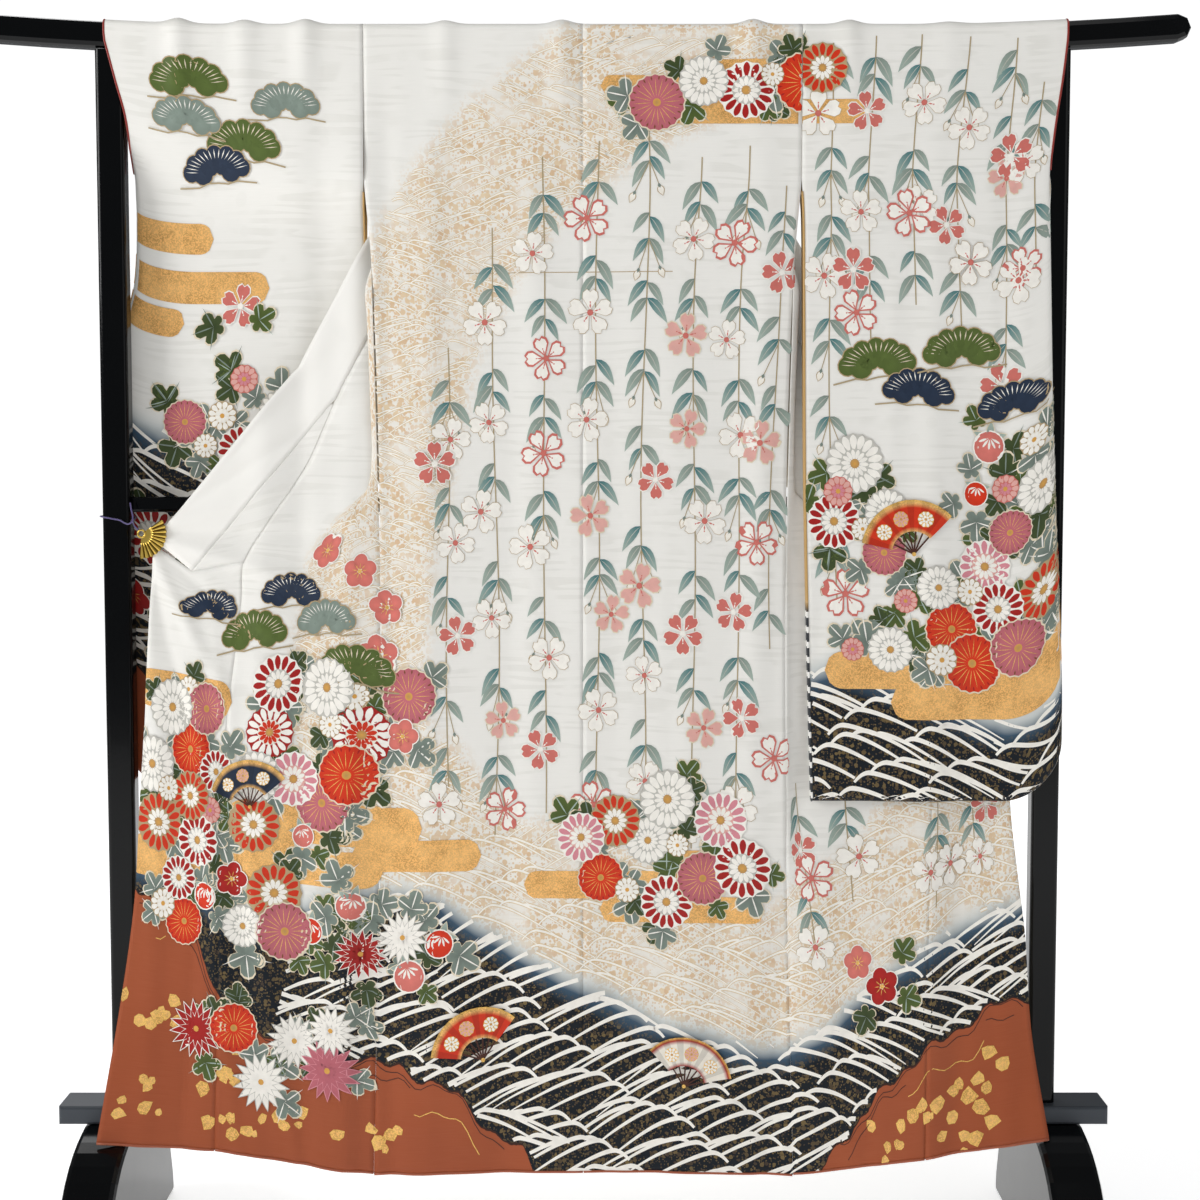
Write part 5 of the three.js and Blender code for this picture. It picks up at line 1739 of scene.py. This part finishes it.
class FURISODE_OT_collar(Operator):
    """Makes the collar, one strip from end to end behind the neck"""
    bl_idname = "furisode.collar"
    bl_label = "Collar"

    def execute(self, context):
        sizes, dyes = context.scene.furisode_sizes, context.scene.furisode_dyes
        points = collar_points(sizes.grid / MM)
        rows, across = points.shape[:2]
        run = run_along(points[:, 0])
        uv = np.stack(np.meshgrid(np.linspace(0, COLLAR_WIDTH, across), run), -1).reshape(-1, 2) * MM
        piece = new_mesh("collar_strip", points.reshape(-1, 3), grid_faces(rows, across), uv)
        # the collar's colours are its cream silk darkened with painted shade
        silk = plain_silk("collar_silk", dyes.white, dyes.white_shade, 1.0, 0.25)
        finish(piece, ["collar"], "collar_silk", [silk], 1.6)
        return {"FINISHED"}


class FURISODE_OT_sleeves(Operator):
    """Makes the two sleeves, each one cloth from the far layer over the bar to the near one"""
    bl_idname = "furisode.sleeves"
    bl_label = "Sleeves"

    def execute(self, context):
        sizes, dyes = context.scene.furisode_sizes, context.scene.furisode_dyes
        cloths = sleeve_cloths(sizes.grid / MM)
        tan = plain_silk("sleeve_facing", dyes.tan, dyes.tan_shade, 0.3)
        for name, (side, *_) in SIDES.items():
            near, far = cloths["near_" + name], cloths["far_" + name]
            path = over_bar(8)[1:-1]
            share = np.linspace(0, 1, len(path))[:, None]
            x = mix(far.points[0, :, 0], near.points[0, :, 0], share)
            over = bar_rows(x, path)[1:]
            points = np.concatenate([far.points[::-1], over, near.points])
            levels = np.concatenate([far.levels[::-1], np.full(len(over), TOP), near.levels])
            cut = np.concatenate([
                far.levels[::-1] - 2 * TOP, np.linspace(-TOP, 8 - TOP, len(over)), -near.levels])
            x_cut, level = np.meshgrid(SLEEVE_AT + near.across * SLEEVE_CUT, levels)
            v = np.repeat(cut[:, None], len(near.across), 1)
            rows = len(far.levels)
            parts = [sleeve_zones(*SLEEVE_GROUND[f"{layer}_{name}"], x_cut[part], level[part])
                     for layer, part in (("far", slice(rows)), ("near", slice(rows, None)))]
            faces = grid_faces(*points.shape[:2])[:, ::side]
            uv = np.stack([x_cut, v], -1).reshape(-1, 2) * MM
            first, same = welded(points.reshape(-1, 3), faces)
            piece = new_mesh("sleeve_cloth_" + name, points.reshape(-1, 3)[first], same, uv[first],
                             {label: np.concatenate([part[label] for part in parts])[first]
                              for label in parts[0]})
            finish(piece, ["sleeve_" + name], "satin", [satin_ground(dyes), tan], sizes.wall / MM)
        return {"FINISHED"}


class FURISODE_OT_edges(Operator):
    """Makes the red piping of the cuffs, the rolled edges of the sleeves and the padded hem"""
    bl_idname = "furisode.edges"
    bl_label = "Piping and hem"

    def execute(self, context):
        sizes, dyes = context.scene.furisode_sizes, context.scene.furisode_dyes
        radius = sizes.piping / MM
        sleeves, body = sleeve_cloths(12), body_cloths(12)
        red = plain_silk("cuff_piping", dyes.red, dyes.red_dark, 0.0)
        rust = plain_silk("hem_roll", dyes.rust_pale, dyes.rust_dark, 0.0)
        edge = sleeve_edge(dyes)
        for name, (side, *_) in SIDES.items():
            near, far = sleeves["near_" + name], sleeves["far_" + name]
            open_rows = near.levels > CUFF_END + 4
            path = over_bar(4)[2:-1]
            x = mix(far.points[0, -1, 0], near.points[0, -1, 0], np.linspace(0, 1, len(path)))
            over = stack(x, path[:, 0], path[:, 1] + bar_lift(x))
            cuff = np.concatenate([far.points[open_rows, -1][::-1], over, near.points[open_rows, -1]])
            trims = [("cuff_piping", cuff + (side * radius * 0.6, 0, 0), 1, red)]
            for layer, cloth in (("near", near), ("far", far)):
                line = cloth.points[cloth.levels < SLEEVE_JOIN - 6, 0] + (side * -0.4, 0, 0)
                trims.append(("sleeve_roll_" + layer, line, 1.1, edge))
            for panel in ("back", "front", "okumi"):
                hem = body[f"{panel}_{name}"].points[-1]
                inset = hem + np.linspace(1, -1, len(hem))[:, None] * (side * 0.6, 0, 0)
                trims.append(("hem_roll_" + panel, inset, 1.25, rust))
            for label, line, share, silk in trims:
                piece = tube_mesh(f"{label}_{name}", line, radius * share)
                finish(piece, None, "satin", [silk])
        return {"FINISHED"}


class FURISODE_OT_body_print(Operator):
    """Lays the waves, the weeping strands, the mist and the flowers on the body"""
    bl_idname = "furisode.body_print"
    bl_label = "Print of the body"

    def execute(self, context):
        sizes = context.scene.furisode_sizes
        cloths = body_cloths(sizes.grid / MM)
        motifs = motif_library(sizes.blossom / MM, sizes.bloom / MM)

        def places(x, level, lift):
            return on_body(cloths, x, level, lift)

        prints = [print_mesh("body_print_" + name, motif, places, in_body)
                  for name, motif in body_motifs(motifs).items()]
        return {"FINISHED"}


class FURISODE_OT_sleeve_print(Operator):
    """Lays the print on both layers of both sleeves"""
    bl_idname = "furisode.sleeve_print"
    bl_label = "Print of the sleeves"

    def execute(self, context):
        sizes = context.scene.furisode_sizes
        cloths = sleeve_cloths(sizes.grid / MM)
        motifs = motif_library(sizes.blossom / MM, sizes.bloom / MM)
        for seed, (name, cloth) in enumerate(cloths.items()):
            def places(x, level, lift, cloth=cloth):
                return cloth.sample(np.clip((x - SLEEVE_AT) / SLEEVE_CUT, 0, 1), level, lift)

            def inside(x, level):
                return (x > SLEEVE_AT + 1) & (x < SLEEVE_AT + SLEEVE_CUT - 3) & (
                    level > SLEEVE_BOTTOM + 5) & (level < TOP)

            motif = sleeve_motifs(motifs, name, 41 + seed)
            print_mesh("sleeve_print_" + name, motif, places, inside, cloth.facing)
        return {"FINISHED"}


# ---- clip, cord and rack
CLIP_RADIUS, CLIP_BOSS = 36, 5
CLIP_FROM, CLIP_TO, CLIP_THICK, CLIP_STAND = -95, 35, 4, 0.9
CLIP_RIBS = 11
CORD_RADIUS = 1.1
CORD_ROUTE = numbers("""
    -651 -30 1108, -649 -32.5 1098, -646.6 -34.6 1089, -647.6 -34.8 1081.6, -653.6 -32.6 1077.6,
    -661 -29 1079.6, -668 -26 1083, -685 -22.5 1086, -697 -17 1088, -698.5 0 1088, -694 18 1088,
    -675 21 1088, -657 18.5 1087, -651.5 6 1085, -651 -14 1081, -645 -30 1074, -638 -36.4 1069.4""")


class FURISODE_OT_fan_clip(Operator):
    """Makes the small clip shaped as an open fan, with ribs that spread from its pivot"""
    bl_idname = "furisode.fan_clip"
    bl_label = "Fan clip"

    def execute(self, context):
        cloth = at(OKUMI_LEFT, "y", OKUMI_LEFT["z"][0]) - 1 - CLIP_STAND
        angle = np.radians(np.linspace(CLIP_FROM, CLIP_TO, CLIP_RIBS * 8 + 1))
        turn = np.linspace(0, CLIP_RIBS, len(angle))
        # across each rib the front is half a wave high, and its outer edge is scalloped
        rib = np.abs(np.sin(np.pi * turn))
        share = np.linspace(0, 1, 16)[:, None]
        radius = mix(CLIP_BOSS, CLIP_RADIUS - 1.4 * (1 - rib), share)
        grown = smoothstep(share, 0.28, 0.42)
        front = cloth - CLIP_THICK * mix(0.55, 0.5 + 0.5 * rib, grown)
        x, z = CLIP_X + radius * np.cos(angle), CLIP_Z + radius * np.sin(angle)
        faces = grid_faces(16, len(angle))
        near, far = stack(x, front, z).reshape(-1, 3), stack(x, cloth, z).reshape(-1, 3)
        count = len(near)
        rim = np.concatenate([np.arange(len(angle)), np.arange(1, 16) * len(angle) + len(angle) - 1,
                              np.arange(len(angle) - 2, -1, -1) + 15 * len(angle),
                              np.arange(14, 0, -1) * len(angle)])
        after = np.roll(rim, -1)
        wall = np.stack([rim, after, after + count, rim + count], 1)
        faces = np.concatenate([faces[:, ::-1], faces + count, wall])
        # mask of the grooves between the ribs, where the brass gets painted shade
        painted_groove_shade = np.concatenate([(grown * (1 - rib)).ravel(), np.zeros(count)])
        fan = new_mesh("fan_clip_leaf", np.concatenate([near, far]), faces, None,
                       {"painted_groove_shade": painted_groove_shade}, smooth=False)
        ring_angle = np.linspace(0, 2 * np.pi, 33)
        ring = stack(CLIP_X + 5.2 * np.cos(ring_angle), cloth - 2.6, CLIP_Z + 5.2 * np.sin(ring_angle))
        pivot = tube_mesh("fan_clip_pivot", ring, 1.5)
        brass = gilt_brass(context.scene.rack_finish)
        finish(fan, ["fan_clip"], "gilt", [brass])
        finish(pivot, None, "gilt", [brass])
        return {"FINISHED"}


class FURISODE_OT_tie_cord(Operator):
    """Makes the braided cord that ties the clip to the left post"""
    bl_idname = "furisode.tie_cord"
    bl_label = "Tie cord"

    def execute(self, context):
        u = np.linspace(0, 1, 240)
        path = smooth_through(CORD_ROUTE, u[:, None])
        piece = tube_mesh("tie_cord_braid", path, CORD_RADIUS, 12, 0.9, 0.08)
        finish(piece, ["tie_cord"], "cord", [braid(context.scene.rack_finish)])
        way = path[::-1] * MM
        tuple(way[0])
        return {"FINISHED"}


class FURISODE_OT_rack(Operator):
    """Gives the rack's parts their lacquer and paint"""
    bl_idname = "furisode.rack"
    bl_label = "Rack"

    def execute(self, context):
        look = context.scene.rack_finish
        for name in ("top_bar", "mid_rail", "post_left", "post_right", "foot_left", "foot_right"):
            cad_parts[name].data.materials.clear()
            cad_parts[name].data.materials.append(lacquer(look))
        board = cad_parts["bottom_board"]
        board.data.materials.clear()
        board.data.materials.append(board_paint(look))
        return {"FINISHED"}


# ---- stage
CAMERA_PLACE = (0.0245, -3.0, 1.1864)
CAMERA_TILT = 85.793  # degrees from straight down
CAMERA_LENS = 61.92
LAMPS = [  # name, place, size, watts
    ("lamp_left", (-3.5, -1.7, 2.3), 1.4, 73),
    ("lamp_right", (3.0, -3.2, 2.0), 2.2, 13),
    ("lamp_top", (0.2, -1.0, 3.9), 2.0, 18),
    ("lamp_behind", (-1.2, 2.8, 2.6), 2.0, 32),
]


class FURISODE_OT_stage(Operator):
    """Makes the camera, the floor, the soft lamps and the pale surroundings"""
    bl_idname = "furisode.stage"
    bl_label = "Stage"

    def execute(self, context):
        scene = context.scene
        camera = bpy.data.objects.new("camera", bpy.data.cameras.new("camera"))
        camera.data.lens, camera.data.sensor_width = CAMERA_LENS, 36
        camera.location = CAMERA_PLACE
        camera.rotation_euler = (np.radians(CAMERA_TILT), 0, 0)
        scene.collection.objects.link(camera)
        scene.camera = camera
        corner = 5200.0
        points = np.array([(-corner, -corner, 0), (corner, -corner, 0), (corner, corner, 0),
                           (-corner, corner, 0)])
        floor = new_mesh("floor", points, np.array([[0, 1, 2, 3]]))
        floor.data.materials.append(stage_paper())
        floor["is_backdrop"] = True
        for name, place, size, watts in LAMPS:
            lamp = bpy.data.objects.new(name, bpy.data.lights.new(name, "AREA"))
            lamp.data.energy, lamp.data.size = watts, size
            lamp.location = place
            aim = Vector((0, 0, 1.0)) - Vector(place)
            lamp.rotation_euler = aim.to_track_quat("-Z", "Y").to_euler()
            scene.collection.objects.link(lamp)
        world = bpy.data.worlds.new("pale_room")
        world.use_nodes = True
        tree, back = Tree(world.node_tree), world.node_tree.nodes["Background"].inputs
        seen = tree.add("LightPath").outputs["Is Camera Ray"]
        tree.put(back["Color"], tree.mix(seen, (0.80, 0.82, 0.85), (1, 1, 1)))
        tree.put(back["Strength"], tree.plus(0.25, tree.times(seen, 0.8)))
        scene.world = world
        scene.view_settings.view_transform = "Standard"
        return {"FINISHED"}


class FURISODE_PT_panel(Panel):
    """Lists the pieces and their sizes and colours"""
    bl_idname = "FURISODE_PT_panel"
    bl_label = "Furisode"
    bl_space_type = "VIEW_3D"
    bl_region_type = "UI"
    bl_category = "Furisode"

    def draw(self, context):
        for operator in OPERATORS:
            self.layout.operator(operator.bl_idname)
        for group_name in ("furisode_sizes", "furisode_dyes", "rack_finish"):
            values = getattr(context.scene, group_name)
            box = self.layout.box()
            for name in values.__annotations__:
                box.prop(values, name)


OPERATORS = (
    FURISODE_OT_stage, FURISODE_OT_tie_cord, FURISODE_OT_rack, FURISODE_OT_backs,
    FURISODE_OT_fronts, FURISODE_OT_okumi,
    FURISODE_OT_collar, FURISODE_OT_sleeves, FURISODE_OT_edges, FURISODE_OT_body_print,
    FURISODE_OT_sleeve_print, FURISODE_OT_fan_clip,
)
GROUPS_OF_SETTINGS = (FurisodeSizes, FurisodeDyes, RackFinish)


def register():
    """Adds the settings, the operators and the panel."""
    for kind in (*GROUPS_OF_SETTINGS, *OPERATORS, FURISODE_PT_panel):
        bpy.utils.register_class(kind)
    bpy.types.Scene.furisode_sizes = PointerProperty(type=FurisodeSizes)
    bpy.types.Scene.furisode_dyes = PointerProperty(type=FurisodeDyes)
    bpy.types.Scene.rack_finish = PointerProperty(type=RackFinish)


def unregister():
    """Takes them away again."""
    for name in ("furisode_sizes", "furisode_dyes", "rack_finish"):
        delattr(bpy.types.Scene, name)
    for kind in reversed((*GROUPS_OF_SETTINGS, *OPERATORS, FURISODE_PT_panel)):
        bpy.utils.unregister_class(kind)


def main():
    """Makes everything in order."""
    register()
    for operator in OPERATORS:
        space, name = operator.bl_idname.split(".")
        getattr(getattr(bpy.ops, space), name)()
    boxes = {"cad": CAD_BOX, "visual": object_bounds()}
    sizes = {name: [list(corner) for corner in box] for name, box in boxes.items()}


if __name__ == "__main__":
    main()
